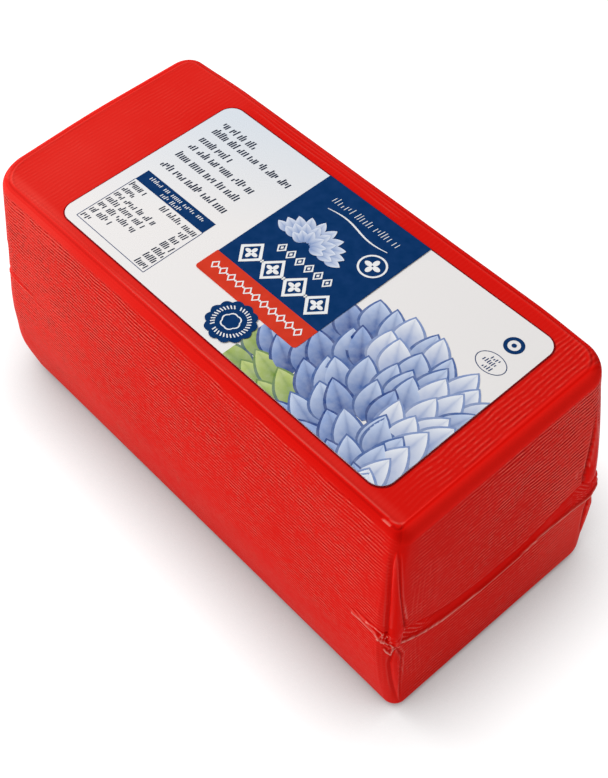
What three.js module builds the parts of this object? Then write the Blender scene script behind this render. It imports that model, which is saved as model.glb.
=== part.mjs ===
// A whole cheese block for slicing, shrink-wrapped in opaque red film, with a printed label on top.
// Millimetres, +Z up, +X along the block. The origin is on the floor under the middle of the block.
import * as THREE from "three";
import { mergeVertices } from "three/addons/utils/BufferGeometryUtils.js";

// ---- Driving dimensions of the block ----
const HEIGHT = 115;
const TOP_HALF_LENGTH = 115.7; // the block stands like a loaf from a mould: its foot is longer than its top
const FOOT_HALF_LENGTH = 123.4;
const TOP_HALF_WIDTH = 52.9;
const BELLY_HALF_WIDTH = 61.7; // the long sides are widest where the film is welded
const FOOT_HALF_WIDTH = 56.1;
const FOOT_SKEW = 0.9; // the near end's foot lies a little askew
const BELLY_HEIGHT = 45;
const BELLY_CURVE = 1.5; // 1 would leave a crease at the belly
const CORNER_RADII = {
  near: { front: 5, back: 12.5 }, // upright corners, seen from above; near: the +X end, front: the -Y side
  far: { front: 16, back: 9 },
};
const TOP_EDGE_RADIUS_END = 4.7;
const TOP_EDGE_RADIUS_SIDE = 3;
const FOOT_EDGE_RADIUS = 5;
const END_BOW = { depth: 2.8, from: 10, to: -60 }; // the far end bows in towards its front corner, over y
const SIDE_BOW = { depth: 1.3, from: -78, to: -112 }; // and the back narrows towards both ends, over x

// ---- The rim where the flat top ends: a fine crest with a groove outside it ----
const RIM_CREST_PLACE = 0.5;
const RIM_CREST_HEIGHT = 0.16;
const RIM_GROOVE_PLACE = -0.7;
const RIM_GROOVE_DEPTH = 0.32;
const RIM_WIDTH = 0.5;
const RIM_ON_ENDS = 0.45; // share of the rim that is left along the two ends

// ---- The welded end seam of the film, at each end of the block ----
const SEAMS = {
  near: { height: 40.5, tilt: -0.07, rise: { front: 15, back: 1 } },
  far: { height: 52, tilt: -0.03, rise: { front: 12, back: 8 } },
};
const SEAM_CORNER_POWER = 4;
const SEAM_FIN = 1.1;
const SEAM_FIN_WIDTH = 0.9;
const SEAM_GROOVE = 1.4;
const SEAM_GROOVE_ABOVE = 5.5;
const SEAM_GROOVE_WIDTH = 3.5;
const SEAM_EAR_LENGTH = 22; // how far the seam's tails lie along the long sides
const SEAM_EAR_FADE = 0.3; // share of that length on which the tail stays at full height
const SEAM_EAR_FIN = 0.65; // share of the fin that is left on the long sides
const KNOT = 1.1;
const KNOT_WIDTH = 3;

// ---- The film's tucks up and down each upright corner ----
const TUCK_HEIGHT = 1;
const TUCK_ANGLE = 40; // degrees round the corner, from the end face
const TUCK_SPREAD = 13;
const TUCK_ABOVE = 36;
const TUCK_BELOW = 40;

// ---- The label ----
const LABEL_LENGTH = 174.3;
const LABEL_WIDTH = 87.8;
const LABEL_CORNER = 6;
const LABEL_THICKNESS = 0.3;
const LABEL_GAP = 0.05;
const LABEL_CENTRE = [10.9, -1];
const LABEL_TURN = THREE.MathUtils.degToRad(0.1);

// ---- Where the surface is divided: close at the edges and at the seam, wide between ----
const EDGE_INSETS = [0, 1.1, 2.2, 3, 3.5, 4.1, 5.2, 6.5, 9, 12.5, 17];
const LENGTH_STEPS = 10;
const WIDTH_STEPS = 4;
const FOOT_STEPS = [0, 1.6, 3.2, 5, 13, 22, 31];
const SEAM_STEPS = [-7, -3, -1.6, -0.8, 0, 0.8, 1.6, 3.4, 5.5, 8, 12];
const SEAM_LEVEL = 45;
const SEAM_HOLD = [0.25, 0.78]; // where the lines between an edge and the seam start and end bending to it
const SEAM_RUN_OUT = [0.2, 1];
const UPPER_STEPS = [64, 76, 88, 100];
const TOP_STEPS = [6, 4.4, 2.9, 1.4, 0];

function bump(distance, width) {
  return Math.exp(-((distance / width) ** 2));
}

// The value of a near and far pair, or of a front and back pair, that holds at a place.
function atEnd(pair, x) {
  return x > 0 ? pair.near : pair.far;
}

function atSide(pair, y) {
  return y < 0 ? pair.front : pair.back;
}

// Lines across the block from one side to the other.
function linesAcross(half, steps) {
  const innermost = EDGE_INSETS[EDGE_INSETS.length - 1];
  const start = EDGE_INSETS.map((inset) => inset - half);
  const span = 2 * (half - innermost);
  const middle = [];
  for (let i = 1; i < steps; i += 1) {
    middle.push(innermost - half + (span * i) / steps);
  }
  const end = EDGE_INSETS.map((inset) => half - inset).reverse();
  return [...start, ...middle, ...end];
}

function linesUp() {
  return [
    ...FOOT_STEPS,
    ...SEAM_STEPS.map((step) => SEAM_LEVEL + step),
    ...UPPER_STEPS,
    ...TOP_STEPS.map((depth) => HEIGHT - depth),
  ];
}

// Half length and half width of the block at a height.
function halfLengthAt(z) {
  return THREE.MathUtils.lerp(FOOT_HALF_LENGTH, TOP_HALF_LENGTH, z / HEIGHT);
}

function halfWidthAt(z) {
  if (z > BELLY_HEIGHT) {
    const rise = (z - BELLY_HEIGHT) / (HEIGHT - BELLY_HEIGHT);
    return THREE.MathUtils.lerp(BELLY_HALF_WIDTH, TOP_HALF_WIDTH, rise ** BELLY_CURVE);
  }
  const drop = (BELLY_HEIGHT - z) / BELLY_HEIGHT;
  return THREE.MathUtils.lerp(BELLY_HALF_WIDTH, FOOT_HALF_WIDTH, drop ** BELLY_CURVE);
}

// A right-angled edge point, `inset` from one face and `depth` from the other, on a rounded edge.
function roundEdge(inset, depth, radius) {
  if (inset >= radius || depth >= radius) {
    return [inset, depth];
  }
  const across = radius - inset;
  const along = radius - depth;
  const reach = radius / Math.hypot(across, along);
  return [radius - across * reach, radius - along * reach];
}

// The way out of the block at a point seen from above: straight on the faces, turning at the corners.
function outwardAt(x, y) {
  const radius = atSide(atEnd(CORNER_RADII, x), y);
  const coreX = TOP_HALF_LENGTH - radius;
  const coreY = TOP_HALF_WIDTH - radius;
  const core = new THREE.Vector2(
    THREE.MathUtils.clamp(x, -coreX, coreX),
    THREE.MathUtils.clamp(y, -coreY, coreY),
  );
  const way = new THREE.Vector2(x, y).sub(core);
  return { core, radius, way: way.lengthSq() > 0 ? way.normalize() : way };
}

function seamHeight(x, y) {
  const seam = atEnd(SEAMS, x);
  const side = Math.min(Math.abs(y) / TOP_HALF_WIDTH, 1);
  return seam.height + seam.tilt * y + atSide(seam.rise, y) * side ** SEAM_CORNER_POWER;
}

// The division lines near the seam bend to follow it, and settle back above and below.
function followSeam(x, y, z) {
  const reach = z > SEAM_LEVEL ? (HEIGHT - z) / (HEIGHT - SEAM_LEVEL) : z / SEAM_LEVEL;
  const hold = THREE.MathUtils.smoothstep(reach, ...SEAM_HOLD);
  const ends = endShare(x, 2 * SEAM_EAR_LENGTH, SEAM_RUN_OUT);
  return z + (seamHeight(x, y) - SEAM_LEVEL) * hold * ends;
}

// 1 at the end faces, falling to 0 past the seam's tails on the long sides.
function endShare(x, length, [full, none]) {
  const run = (TOP_HALF_LENGTH - Math.abs(x)) / length;
  return 1 - THREE.MathUtils.smoothstep(run, full, none);
}

// How far the film stands out of the wall at a seam, its corner knot and the corner tucks.
function filmRelief(x, y, z, way) {
  const above = z - seamHeight(x, y);
  const tail = endShare(x, SEAM_EAR_LENGTH, [SEAM_EAR_FADE, 1]);
  const share = THREE.MathUtils.lerp(SEAM_EAR_FIN, 1, way.x ** 2) * tail;
  const fin = SEAM_FIN * bump(above, SEAM_FIN_WIDTH);
  const groove = SEAM_GROOVE * bump(above - SEAM_GROOVE_ABOVE, SEAM_GROOVE_WIDTH);
  const angle = THREE.MathUtils.radToDeg(Math.atan2(Math.abs(way.y), Math.abs(way.x)));
  const atCorner = bump(angle - TUCK_ANGLE, TUCK_SPREAD);
  const knot = KNOT * bump(above, KNOT_WIDTH) * atCorner;
  const reach = above > 0 ? above / TUCK_ABOVE : -above / TUCK_BELOW;
  const lens = reach < 1 ? Math.sin(Math.PI * Math.sqrt(reach)) : 0;
  return share * (fin - groove) + knot + TUCK_HEIGHT * lens * atCorner;
}

// Level of the rim at a distance in from where the flat top ends.
function rimLevel(inside, way) {
  const crest = RIM_CREST_HEIGHT * bump(inside - RIM_CREST_PLACE, RIM_WIDTH);
  const groove = RIM_GROOVE_DEPTH * bump(inside - RIM_GROOVE_PLACE, RIM_WIDTH);
  return (crest - groove) * THREE.MathUtils.lerp(1, RIM_ON_ENDS, way.x ** 2);
}

// Moves a point where the block isn't quite square: bows and a skew, the more the nearer it is to the side.
function bowIn(place, z) {
  const endward = (place.x / TOP_HALF_LENGTH) ** 2;
  const sideward = place.y / TOP_HALF_WIDTH;
  const endBow = END_BOW.depth * fadeIn(place.y, END_BOW);
  const skew = FOOT_SKEW * (1 - z / HEIGHT) * sideward;
  const sideBow = SIDE_BOW.depth * fadeIn(-Math.abs(place.x), SIDE_BOW);
  place.x += endward * (place.x < 0 ? endBow : skew);
  place.y -= sideBow * Math.max(sideward, 0) ** 2;
}

function fadeIn(value, { from, to }) {
  return THREE.MathUtils.smoothstep(-value, -from, -to);
}

// Takes a point of the plain box to its place on the wrapped block.
function wrappedPoint(x, y, z) {
  const inset = Math.min(TOP_HALF_LENGTH - Math.abs(x), TOP_HALF_WIDTH - Math.abs(y));
  const { core, radius, way } = outwardAt(x, y);
  const topRadius = THREE.MathUtils.lerp(TOP_EDGE_RADIUS_SIDE, TOP_EDGE_RADIUS_END, way.x ** 2);
  const upper = z > HEIGHT / 2;
  const depth = upper ? HEIGHT - z : z;
  const [newInset, newDepth] = roundEdge(inset, depth, upper ? topRadius : FOOT_EDGE_RADIUS);
  const rim = z === HEIGHT ? rimLevel(newInset - topRadius, way) : 0;
  const rounded = upper ? HEIGHT - newDepth + rim : newDepth;
  const height = inset === 0 ? followSeam(x, y, rounded) : rounded;
  const place = core.addScaledVector(way, inset < radius ? radius - newInset : 0);
  place.x *= halfLengthAt(height) / TOP_HALF_LENGTH;
  place.y *= halfWidthAt(height) / TOP_HALF_WIDTH;
  bowIn(place, height);
  if (inset === 0) {
    place.addScaledVector(way, filmRelief(x, y, height, way));
  }
  return new THREE.Vector3(place.x, place.y, height);
}

function cheeseBlock() {
  const acrossX = linesAcross(TOP_HALF_LENGTH, LENGTH_STEPS);
  const acrossY = linesAcross(TOP_HALF_WIDTH, WIDTH_STEPS);
  const up = linesUp();
  const counts = [acrossX.length - 1, acrossY.length - 1, up.length - 1];
  const box = new THREE.BoxGeometry(...counts, ...counts);
  box.deleteAttribute("normal");
  box.deleteAttribute("uv");
  const geometry = mergeVertices(box);
  const points = geometry.getAttribute("position");
  for (let i = 0; i < points.count; i += 1) {
    const x = acrossX[Math.round(points.getX(i) + counts[0] / 2)];
    const y = acrossY[Math.round(points.getY(i) + counts[1] / 2)];
    const z = up[Math.round(points.getZ(i) + counts[2] / 2)];
    const point = wrappedPoint(x, y, z);
    points.setXYZ(i, point.x, point.y, point.z);
  }
  geometry.computeBoundingBox();
  const middle = geometry.boundingBox.getCenter(new THREE.Vector3());
  geometry.translate(-middle.x, -middle.y, 0);
  geometry.computeVertexNormals();
  const film = new THREE.MeshStandardMaterial({ color: 0xd91c14, roughness: 0.35, metalness: 0 });
  const mesh = new THREE.Mesh(geometry, film);
  mesh.name = "cheese_block";
  return mesh;
}

function topLabel() {
  const right = LABEL_LENGTH / 2 - LABEL_CORNER;
  const top = LABEL_WIDTH / 2 - LABEL_CORNER;
  const quarter = Math.PI / 2;
  const outline = new THREE.Shape();
  outline.absarc(right, top, LABEL_CORNER, 0, quarter);
  outline.absarc(-right, top, LABEL_CORNER, quarter, 2 * quarter);
  outline.absarc(-right, -top, LABEL_CORNER, 2 * quarter, 3 * quarter);
  outline.absarc(right, -top, LABEL_CORNER, 3 * quarter, 4 * quarter);
  const sheet = { depth: LABEL_THICKNESS, bevelEnabled: false, curveSegments: 8 };
  const paper = new THREE.MeshStandardMaterial({ color: 0xe4e6ea, roughness: 0.45, metalness: 0 });
  const mesh = new THREE.Mesh(new THREE.ExtrudeGeometry(outline, sheet), paper);
  mesh.name = "label";
  mesh.position.set(...LABEL_CENTRE, HEIGHT + LABEL_GAP);
  mesh.rotation.z = LABEL_TURN;
  return mesh;
}

const group = new THREE.Group();
group.add(cheeseBlock());
group.add(topLabel());

export default group;
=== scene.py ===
# %% [markdown]
# # A cheese block in red film
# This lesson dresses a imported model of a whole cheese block: a loaf of semi-hard cheese, shrink-wrapped in
# opaque red film, with a large printed label on its top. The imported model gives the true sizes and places.
# Here the film gets its folds, welds and fine ribs, and the label gets its print.

# %% Load the frame
import math

import bmesh
import bpy
import numpy as np
from mathutils import Matrix, Vector


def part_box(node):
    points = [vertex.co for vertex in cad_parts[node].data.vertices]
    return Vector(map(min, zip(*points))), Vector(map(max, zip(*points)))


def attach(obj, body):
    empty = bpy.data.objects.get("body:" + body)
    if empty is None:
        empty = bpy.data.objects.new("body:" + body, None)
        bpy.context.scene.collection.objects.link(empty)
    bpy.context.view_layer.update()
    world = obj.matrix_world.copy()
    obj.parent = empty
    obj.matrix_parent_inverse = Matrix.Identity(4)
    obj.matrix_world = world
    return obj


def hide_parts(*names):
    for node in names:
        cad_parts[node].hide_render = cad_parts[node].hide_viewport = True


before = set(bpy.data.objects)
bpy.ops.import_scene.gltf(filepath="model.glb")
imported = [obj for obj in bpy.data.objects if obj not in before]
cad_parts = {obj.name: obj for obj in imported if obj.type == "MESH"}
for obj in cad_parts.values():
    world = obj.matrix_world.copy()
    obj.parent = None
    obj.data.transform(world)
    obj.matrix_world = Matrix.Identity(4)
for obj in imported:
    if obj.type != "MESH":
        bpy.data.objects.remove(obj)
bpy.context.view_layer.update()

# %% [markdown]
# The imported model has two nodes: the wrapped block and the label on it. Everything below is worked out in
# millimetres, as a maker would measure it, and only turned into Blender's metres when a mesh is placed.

MM = 0.001

block_low, block_high = (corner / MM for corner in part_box("cheese_block"))
label_low, label_high = (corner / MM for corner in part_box("label"))
print("block", tuple(round(side, 1) for side in block_high - block_low), "mm")
print("label", tuple(round(side, 1) for side in label_high - label_low), "mm, top at", round(label_high.z, 2))

# %% [markdown]
# ## The camera
# It comes first, so that every piece can be judged from the right place. A camera can be aimed by hand or
# by a constraint. Here its three axes are worked out from the angle round the block, the angle above the
# table and a small roll, because then each of the three can be changed on its own.

# %% Place the camera
VIEW_AZIMUTH = math.radians(48.65)
VIEW_ELEVATION = math.radians(53.02)
VIEW_ROLL = math.radians(-1.59)
VIEW_DISTANCE = 511.4 * MM
LOOK_AT = Vector((17.94, -5.84, 57.5)) * MM
FOCAL_LENGTH = 59.77


def camera_axes(azimuth, elevation, roll):
    """Right, up and backward directions of a camera that looks at the block."""
    level = math.cos(elevation)
    back = Vector((math.sin(azimuth) * level, -math.cos(azimuth) * level, math.sin(elevation)))
    right = Vector((0, 0, 1)).cross(back).normalized()
    up = back.cross(right)
    rolled_right = math.cos(roll) * right + math.sin(roll) * up
    rolled_up = math.cos(roll) * up - math.sin(roll) * right
    return rolled_right, rolled_up, back


def in_scene(name, data):
    """A new object with that data, linked to the scene."""
    made = bpy.data.objects.new(name, data)
    bpy.context.scene.collection.objects.link(made)
    return made


camera = in_scene("camera", bpy.data.cameras.new("camera"))
camera.data.lens = FOCAL_LENGTH
camera.data.clip_start = 10 * MM
right, up, back = camera_axes(VIEW_AZIMUTH, VIEW_ELEVATION, VIEW_ROLL)
turned = Matrix((right, up, back)).transposed().to_4x4()
camera.matrix_world = Matrix.Translation(LOOK_AT + VIEW_DISTANCE * back) @ turned
bpy.context.scene.camera = camera
print("camera", tuple(round(place, 4) for place in camera.matrix_world.translation), "m")

# %% [markdown]
# ## Small tools for soft shapes
# Film has no straight steps: each fold swells and fades. Two curves do nearly all of that work. A bump is a
# small hill round one place, and an ease is a soft step from 0 to 1. A third tool draws a line through a few
# given places and rounds its corners off, for folds that wander.

# %% Bump, ease and an eased line
LINE_START, LINE_END, LINE_STEP = -100, 130, 0.5


def bump(distance, width):
    return np.exp(-((distance / width) ** 2))


def ease(value, start, end):
    share = np.clip((value - start) / (end - start), 0, 1)
    return share * share * (3 - 2 * share)


def between(low, high, share):
    return low + (high - low) * share


def window(value, low, high, soft):
    """1 between two places, fading to 0 over a soft edge outside them."""
    return ease(value, low - soft, low) * (1 - ease(value, high, high + soft))


def eased_line(points, softness=2.5):
    """A line through a few (place, value) pairs, its corners rounded over the softness."""
    places, values = zip(*sorted(points))
    fine = np.arange(LINE_START, LINE_END, LINE_STEP)
    reach = np.arange(-4 * softness, 4 * softness + LINE_STEP, LINE_STEP)
    weights = bump(reach, softness)
    ends = len(reach) // 2
    padded = np.pad(np.interp(fine, places, values), (ends, len(reach) - 1 - ends), mode="edge")
    smooth = np.convolve(padded, weights / weights.sum(), mode="valid")
    return lambda place: np.interp(place, fine, smooth)


# %% [markdown]
# ## The block's form
# The block stood in a mould, so its foot is a little longer than its top, and the long sides are fullest
# where the film is welded. It could be sculpted by hand or simulated as cloth round a box. A box with many
# small faces, whose vertices are then moved by formulas, was chosen, because each edge and fold keeps a
# size in millimetres.

# %% Sizes of the form
HEIGHT = 115
TOP_HALF_LENGTH = 115.7
FOOT_HALF_LENGTH = 123.4
TOP_HALF_WIDTH = 52.9
BELLY_HALF_WIDTH = 61.7
FOOT_HALF_WIDTH = 56.1
BELLY_HEIGHT = 45
BELLY_CURVE = 1.5
CORNER_RADII = {"near front": 5, "near back": 12.5, "far front": 16, "far back": 9}
END_BOW, SIDE_BOW = 2.8, 1.3
FOOT_SKEW = 0.9
TOP_EDGE_RADIUS_END = 4.7
TOP_EDGE_RADIUS_SIDE = 3
FOOT_EDGE_RADIUS = 5

# %% [markdown]
# The box is divided closely where the film folds, at its upright edges, at the seams and at the rim, and
# widely between. `subdivide_edges` with a grid fill cuts all edges along one axis at once, so three calls
# divide the whole box, and each vertex then slides to its own dividing line.

# %% Lines that divide the box
EDGE_STRETCHES = [(0, 2, 4), (2, 6.5, 13), (6.5, 16, 14)]  # from, to, how many lines
FIRST_STEP, STEP_GROWTH, STEPS_THAT_WIDEN = 0.68, 1.22, 8
LENGTH_STEPS = 36
WIDTH_STEPS = 12
UPRIGHT_STRETCHES = [(0, 7, 9), (7, 22, 14), (22, 36, 16), (36, 74, 94), (74, 80, 8), (80, 106, 20),
                     (106, 111, 8), (111, HEIGHT, 13)]


def lines_across(half, middle_steps):
    """Places from one side to the other, close together near both."""
    close = [np.linspace(low, high, count, endpoint=False) for low, high, count in EDGE_STRETCHES]
    steps = FIRST_STEP * STEP_GROWTH ** np.arange(1, STEPS_THAT_WIDEN + 1)
    wide = EDGE_STRETCHES[-1][1] + np.concatenate([[0], np.cumsum(steps)])
    insets = np.concatenate([*close, wide])
    middle = np.linspace(insets[-1] - half, half - insets[-1], middle_steps + 1)[1:-1]
    return np.concatenate([insets - half, middle, (half - insets)[::-1]])


def lines_up(stretches):
    parts = [np.linspace(low, high, count, endpoint=False) for low, high, count in stretches]
    return np.concatenate([*parts, [HEIGHT]])


division = [
    lines_across(TOP_HALF_LENGTH, LENGTH_STEPS),
    lines_across(TOP_HALF_WIDTH, WIDTH_STEPS),
    lines_up(UPRIGHT_STRETCHES),
]
print("faces along x, y and z:", [len(lines) - 1 for lines in division])

# %% A box with those divisions


def mesh_of(name, sheet):
    """A mesh made of a finished bmesh."""
    mesh = bpy.data.meshes.new(name)
    sheet.to_mesh(mesh)
    sheet.free()
    return mesh


def divided_box(lines_by_axis):
    """A mesh of a box, and the place of each of its vertices on the dividing lines."""
    sheet = bmesh.new()
    bmesh.ops.create_cube(sheet, size=2)
    for axis, lines in enumerate(lines_by_axis):
        along = [edge for edge in sheet.edges if abs(edge.verts[0].co[axis] - edge.verts[1].co[axis]) > 1]
        bmesh.ops.subdivide_edges(sheet, edges=along, cuts=len(lines) - 2, use_grid_fill=True)
    mesh = mesh_of("wrapped_cheese", sheet)
    corners = np.empty(3 * len(mesh.vertices))
    mesh.vertices.foreach_get("co", corners)
    shares = (corners.reshape(-1, 3) + 1) / 2
    places = [
        lines[np.rint(shares[:, axis] * (len(lines) - 1)).astype(int)]
        for axis, lines in enumerate(lines_by_axis)
    ]
    return mesh, places


film_mesh, (box_x, box_y, box_z) = divided_box(division)
print("film vertices", len(film_mesh.vertices), "faces", len(film_mesh.polygons))

# %% [markdown]
# Seen from above, the outline is straight on its faces and turns round a small core at each corner. `way`
# is the direction out of the block there. `run` is the distance along the outline from the middle of the
# end face, so it says how far round a corner a fold lies: negative on the near long side, positive beyond.

# %% The outline seen from above


def outline_at(x, y):
    near = np.where(y < 0, CORNER_RADII["near front"], CORNER_RADII["near back"])
    far = np.where(y < 0, CORNER_RADII["far front"], CORNER_RADII["far back"])
    radius = np.where(x > 0, near, far)
    reach_x = TOP_HALF_LENGTH - radius
    reach_y = TOP_HALF_WIDTH - radius
    core = np.stack([np.clip(x, -reach_x, reach_x), np.clip(y, -reach_y, reach_y)], 1)
    way = np.stack([x, y], 1) - core
    length = np.linalg.norm(way, axis=1)
    way /= np.maximum(length, 1e-9)[:, None]
    turn = np.arctan2(np.abs(way[:, 1]), np.abs(way[:, 0]))
    run = np.abs(core[:, 1]) + radius * turn + reach_x - np.abs(core[:, 0])
    return core, radius, way, np.sign(y) * run


core, corner_radius, way, run = outline_at(box_x, box_y)
top_radius = between(TOP_EDGE_RADIUS_SIDE, TOP_EDGE_RADIUS_END, way[:, 0] ** 2)
on_wall = (np.abs(box_x) == TOP_HALF_LENGTH) | (np.abs(box_y) == TOP_HALF_WIDTH)
tightest = min(CORNER_RADII.values())
print("tightest corner: run", round(TOP_HALF_WIDTH - tightest, 1), "to",
      round(TOP_HALF_WIDTH + tightest * (math.pi / 2 - 1), 1), "mm")

# %% Half length and half width at a height


def half_length_at(z):
    return FOOT_HALF_LENGTH + (TOP_HALF_LENGTH - FOOT_HALF_LENGTH) * z / HEIGHT


def half_width_at(z):
    rise = np.clip((z - BELLY_HEIGHT) / (HEIGHT - BELLY_HEIGHT), 0, 1) ** BELLY_CURVE
    drop = np.clip((BELLY_HEIGHT - z) / BELLY_HEIGHT, 0, 1) ** BELLY_CURVE
    upper = (TOP_HALF_WIDTH - BELLY_HALF_WIDTH) * rise
    lower = (FOOT_HALF_WIDTH - BELLY_HALF_WIDTH) * drop
    return BELLY_HALF_WIDTH + upper + lower


def round_edge(inset, depth, radius):
    """Moves points of a sharp edge onto a round one of that radius."""
    across = radius - inset
    along = radius - depth
    on_edge = (across > 0) & (along > 0)
    reach = radius / np.maximum(np.hypot(across, along), 1e-9)
    new_inset = np.where(on_edge, radius - across * reach, inset)
    new_depth = np.where(on_edge, radius - along * reach, depth)
    return new_inset, new_depth


# %% [markdown]
# ## The welded end seams
# At each end the film is gathered and welded. That leaves a low sharp ridge across the end face. Above it
# the film slopes in, and the cheese above overhangs it a little, more so at the corners. Past them the seam
# lies flat along the long sides as an ear. Each seam is a set of eased lines over `run`: the ridge's height
# above the table, the top of the hollow, and how far the ridge stands out and the hollow goes in.

# %% Lines of the seam at the near end (+X) and the far end (-X)
NEAR_SEAM = {
    "ridge": eased_line([(-80, 60), (-68, 61), (-61, 62.2), (-55, 61.3), (-51, 57), (-47, 52.7), (-42, 49),
                         (-35.5, 44.9), (-28.5, 41.8), (-10, 39.2), (8, 39.3), (20, 41), (34, 39.8),
                         (44, 38.4), (50, 39.5), (58, 42), (70, 43)], 1.2),
    "hollow_top": eased_line([(-80, 62), (-60, 65), (-54, 64.5), (-48, 61), (-41, 57.6), (-33, 52.5),
                              (-25, 49), (-10, 45.7), (8, 45.2), (20, 48.3), (30, 51.8), (38, 53.5),
                              (50, 51), (70, 46)], 1.5),
    "ridge_out": eased_line([(-72, 0), (-68, 0.1), (-61, 0.4), (-55, 0.6), (-51, 0.7), (-46, 0.6), (-36, 0.6),
                             (0, 0.55), (34, 0.6), (46, 0.8), (52, 0.8), (58, 0.6), (66, 0)], 1.5),
    "hollow_in": eased_line([(-70, 0), (-60, 0.35), (-54, 0.7), (-49, 1.3), (-44, 1.8), (-36, 1.6),
                             (-20, 1.1), (8, 0.9), (24, 1.2), (36, 1.9), (44, 1.6), (50, 0.7), (58, 0.5),
                             (68, 0)], 1.5),
}
FAR_SEAM = {
    "ridge": eased_line([(-95, 65), (-81, 66.3), (-70, 67.8), (-60, 68.3), (-54, 66.5), (-48, 62.5),
                         (-40, 58), (-20, 54), (0, 52), (20, 51), (40, 53), (48, 58), (56, 61), (70, 62)]),
    "hollow_top": eased_line([(-95, 66), (-81, 68.3), (-70, 70.3), (-60, 71.5), (-54, 71), (-46, 68),
                              (-20, 60), (0, 57.5), (20, 57), (38, 61), (50, 65), (60, 65), (75, 64)]),
    "ridge_out": eased_line([(-85, 0), (-78, 0.06), (-66, 0.15), (-56, 0.25), (-50, 0.4), (-44, 0.7),
                             (0, 0.6), (45, 0.8), (54, 0.9), (62, 0.5), (70, 0)]),
    "hollow_in": eased_line([(-84, 0), (-78, 0.3), (-66, 0.5), (-56, 0.5), (-50, 0.6), (-44, 1.2), (0, 1),
                             (42, 1.6), (52, 1.1), (62, 0.5), (70, 0)]),
}

# %% How far a seam stands out of the wall
RIDGE_WIDTH = 0.55
OVERHANG_START, OVERHANG_END = 0.78, 1.05
SLOPE_CURVE = 0.8
CRINKLE_PITCH, CRINKLE_OUT, CRINKLE_LEAN, CRINKLE_WANDER = 1.7, 0.14, 1.1, 0.5
CRINKLED_PART = (0.15, 0.8, 0.15)  # of the hollow's depth: from, to, soft edge
CRINKLED_FROM, FEWER_FROM, FEWER_SHARE = (22, 42), (38, 46), 0.3  # at the corners, past the back corners


def sunk_share(run, z, seam):
    """How far a point lies in the hollow: the film slopes in above the ridge, and comes out abruptly."""
    above = z - seam["ridge"](run)
    share = above / np.maximum(seam["hollow_top"](run) - seam["ridge"](run), 2)
    slope = np.clip(share / OVERHANG_START, 0, 1) ** SLOPE_CURVE
    return slope * (1 - ease(share, OVERHANG_START, OVERHANG_END)), share, above


def seam_relief(run, z, seam):
    sunk, _, above = sunk_share(run, z, seam)
    depth = seam["hollow_in"](run)
    wander = run + CRINKLE_LEAN * z + CRINKLE_WANDER * np.sin(z * 0.9 + run * 0.3)
    sharp = 1 - 2 * np.abs(np.sin(math.pi * wander / CRINKLE_PITCH))
    near_corner = ease(np.abs(run), *CRINKLED_FROM) * between(1, FEWER_SHARE, ease(run, *FEWER_FROM))
    crinkle = CRINKLE_OUT * sharp * window(sunk, *CRINKLED_PART) * near_corner * ease(depth, 0.3, 1)
    return seam["ridge_out"](run) * bump(above, RIDGE_WIDTH) - depth * sunk + crinkle


# %% [markdown]
# ## Corner folds
# The spare film at each upright corner lies as two long pointed tucks, one above the seam and one below,
# each with a narrow groove on both sides. Where tuck and seam meet, the film is crumpled into a small knot
# with a few thin sharp folds in it, the flaps. Faint pleats fan out from the corners, and in some places the
# wall is a little fuller or flatter, which is a bulge. A tuck is drawn by a few stations down its length,
# each with its place round the corner and half width, and a flap by the line that its fold follows.

# %% Tucks, knots, bulges, flaps and pleats
TUCKS = [  # end, stations of (height, run, half width), how far it stands out
    (1, [(109, -52.6, 0), (103, -52.3, 0.8), (83, -50.4, 1.5), (70, -49.1, 2.3), (60, -48.1, 2.9),
         (55, -47.6, 2.2), (50, -47, 0)], 1.2),
    (1, [(50, -48.2, 0.4), (42, -47.9, 2), (28, -48.6, 1.4), (5, -50, 0)], 0.9),
    (1, [(96, 43.6, 0), (80, 43.3, 1.4), (68, 42.4, 2.6), (58, 41.6, 3.4), (52, 41.6, 3.2),
         (47, 43, 0)], 1.1),
    (1, [(37, 44.5, 0.6), (32, 44.6, 2), (24, 44.4, 1.3), (11, 45, 0)], 0.9),
    (-1, [(108, -49, 0), (92, -48.5, 2), (80, -48, 3.2), (74, -48, 2.4), (68, -48, 0)], 1.2),
    (-1, [(62, -48, 0.6), (52, -48, 2.6), (32, -48, 1.6), (8, -49, 0)], 0.9),
    (-1, [(101, 50.5, 0), (84, 49.5, 1.8), (70, 48.5, 2.9), (64, 48.3, 2.3), (58, 48.3, 0)], 1.4),
    (-1, [(54, 48.6, 0.6), (44, 48.6, 2.4), (28, 49, 1.5), (7, 50, 0)], 0.9),
]
KNOTS = [  # end, run, height, half width, half height, how far it stands out, how crumpled it is
    (1, -50, 54.8, 2, 5, 1.5, 0.35),
    (1, 48.8, 43, 3, 4.6, 1.5, 0.1),
    (-1, -49, 65.5, 3, 5, 0.4, 0.5),
    (-1, 49.2, 57, 2.5, 5, 1.2, 0.5),
]
BULGES = [  # end, run, height, half width, half height, how far the wall is fuller there
    (-1, -50, 78, 14, 22, -0.9),
    (-1, -52, 22, 14, 12, 1.6),
    (1, 50, 26, 8, 15, 0.7),
]
FLAPS = [  # end, places of (run, height) along a small sharp fold, how far it stands out
    (1, [(-67, 60.3), (-58.5, 60.7), (-55, 60.3), (-53.4, 58.6)], 0.7),
    (1, [(-60, 62.6), (-55.5, 63), (-53, 61.8)], 0.4),
    (1, [(-54.8, 58), (-53, 61.6), (-52.9, 57.2), (-51.2, 61)], 0.6),
    (1, [(-51.2, 60), (-49.6, 54), (-50.2, 50), (-52, 53.5)], 0.8),
    (1, [(-49.4, 52.4), (-47.2, 51.6)], 0.6),
]
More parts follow.
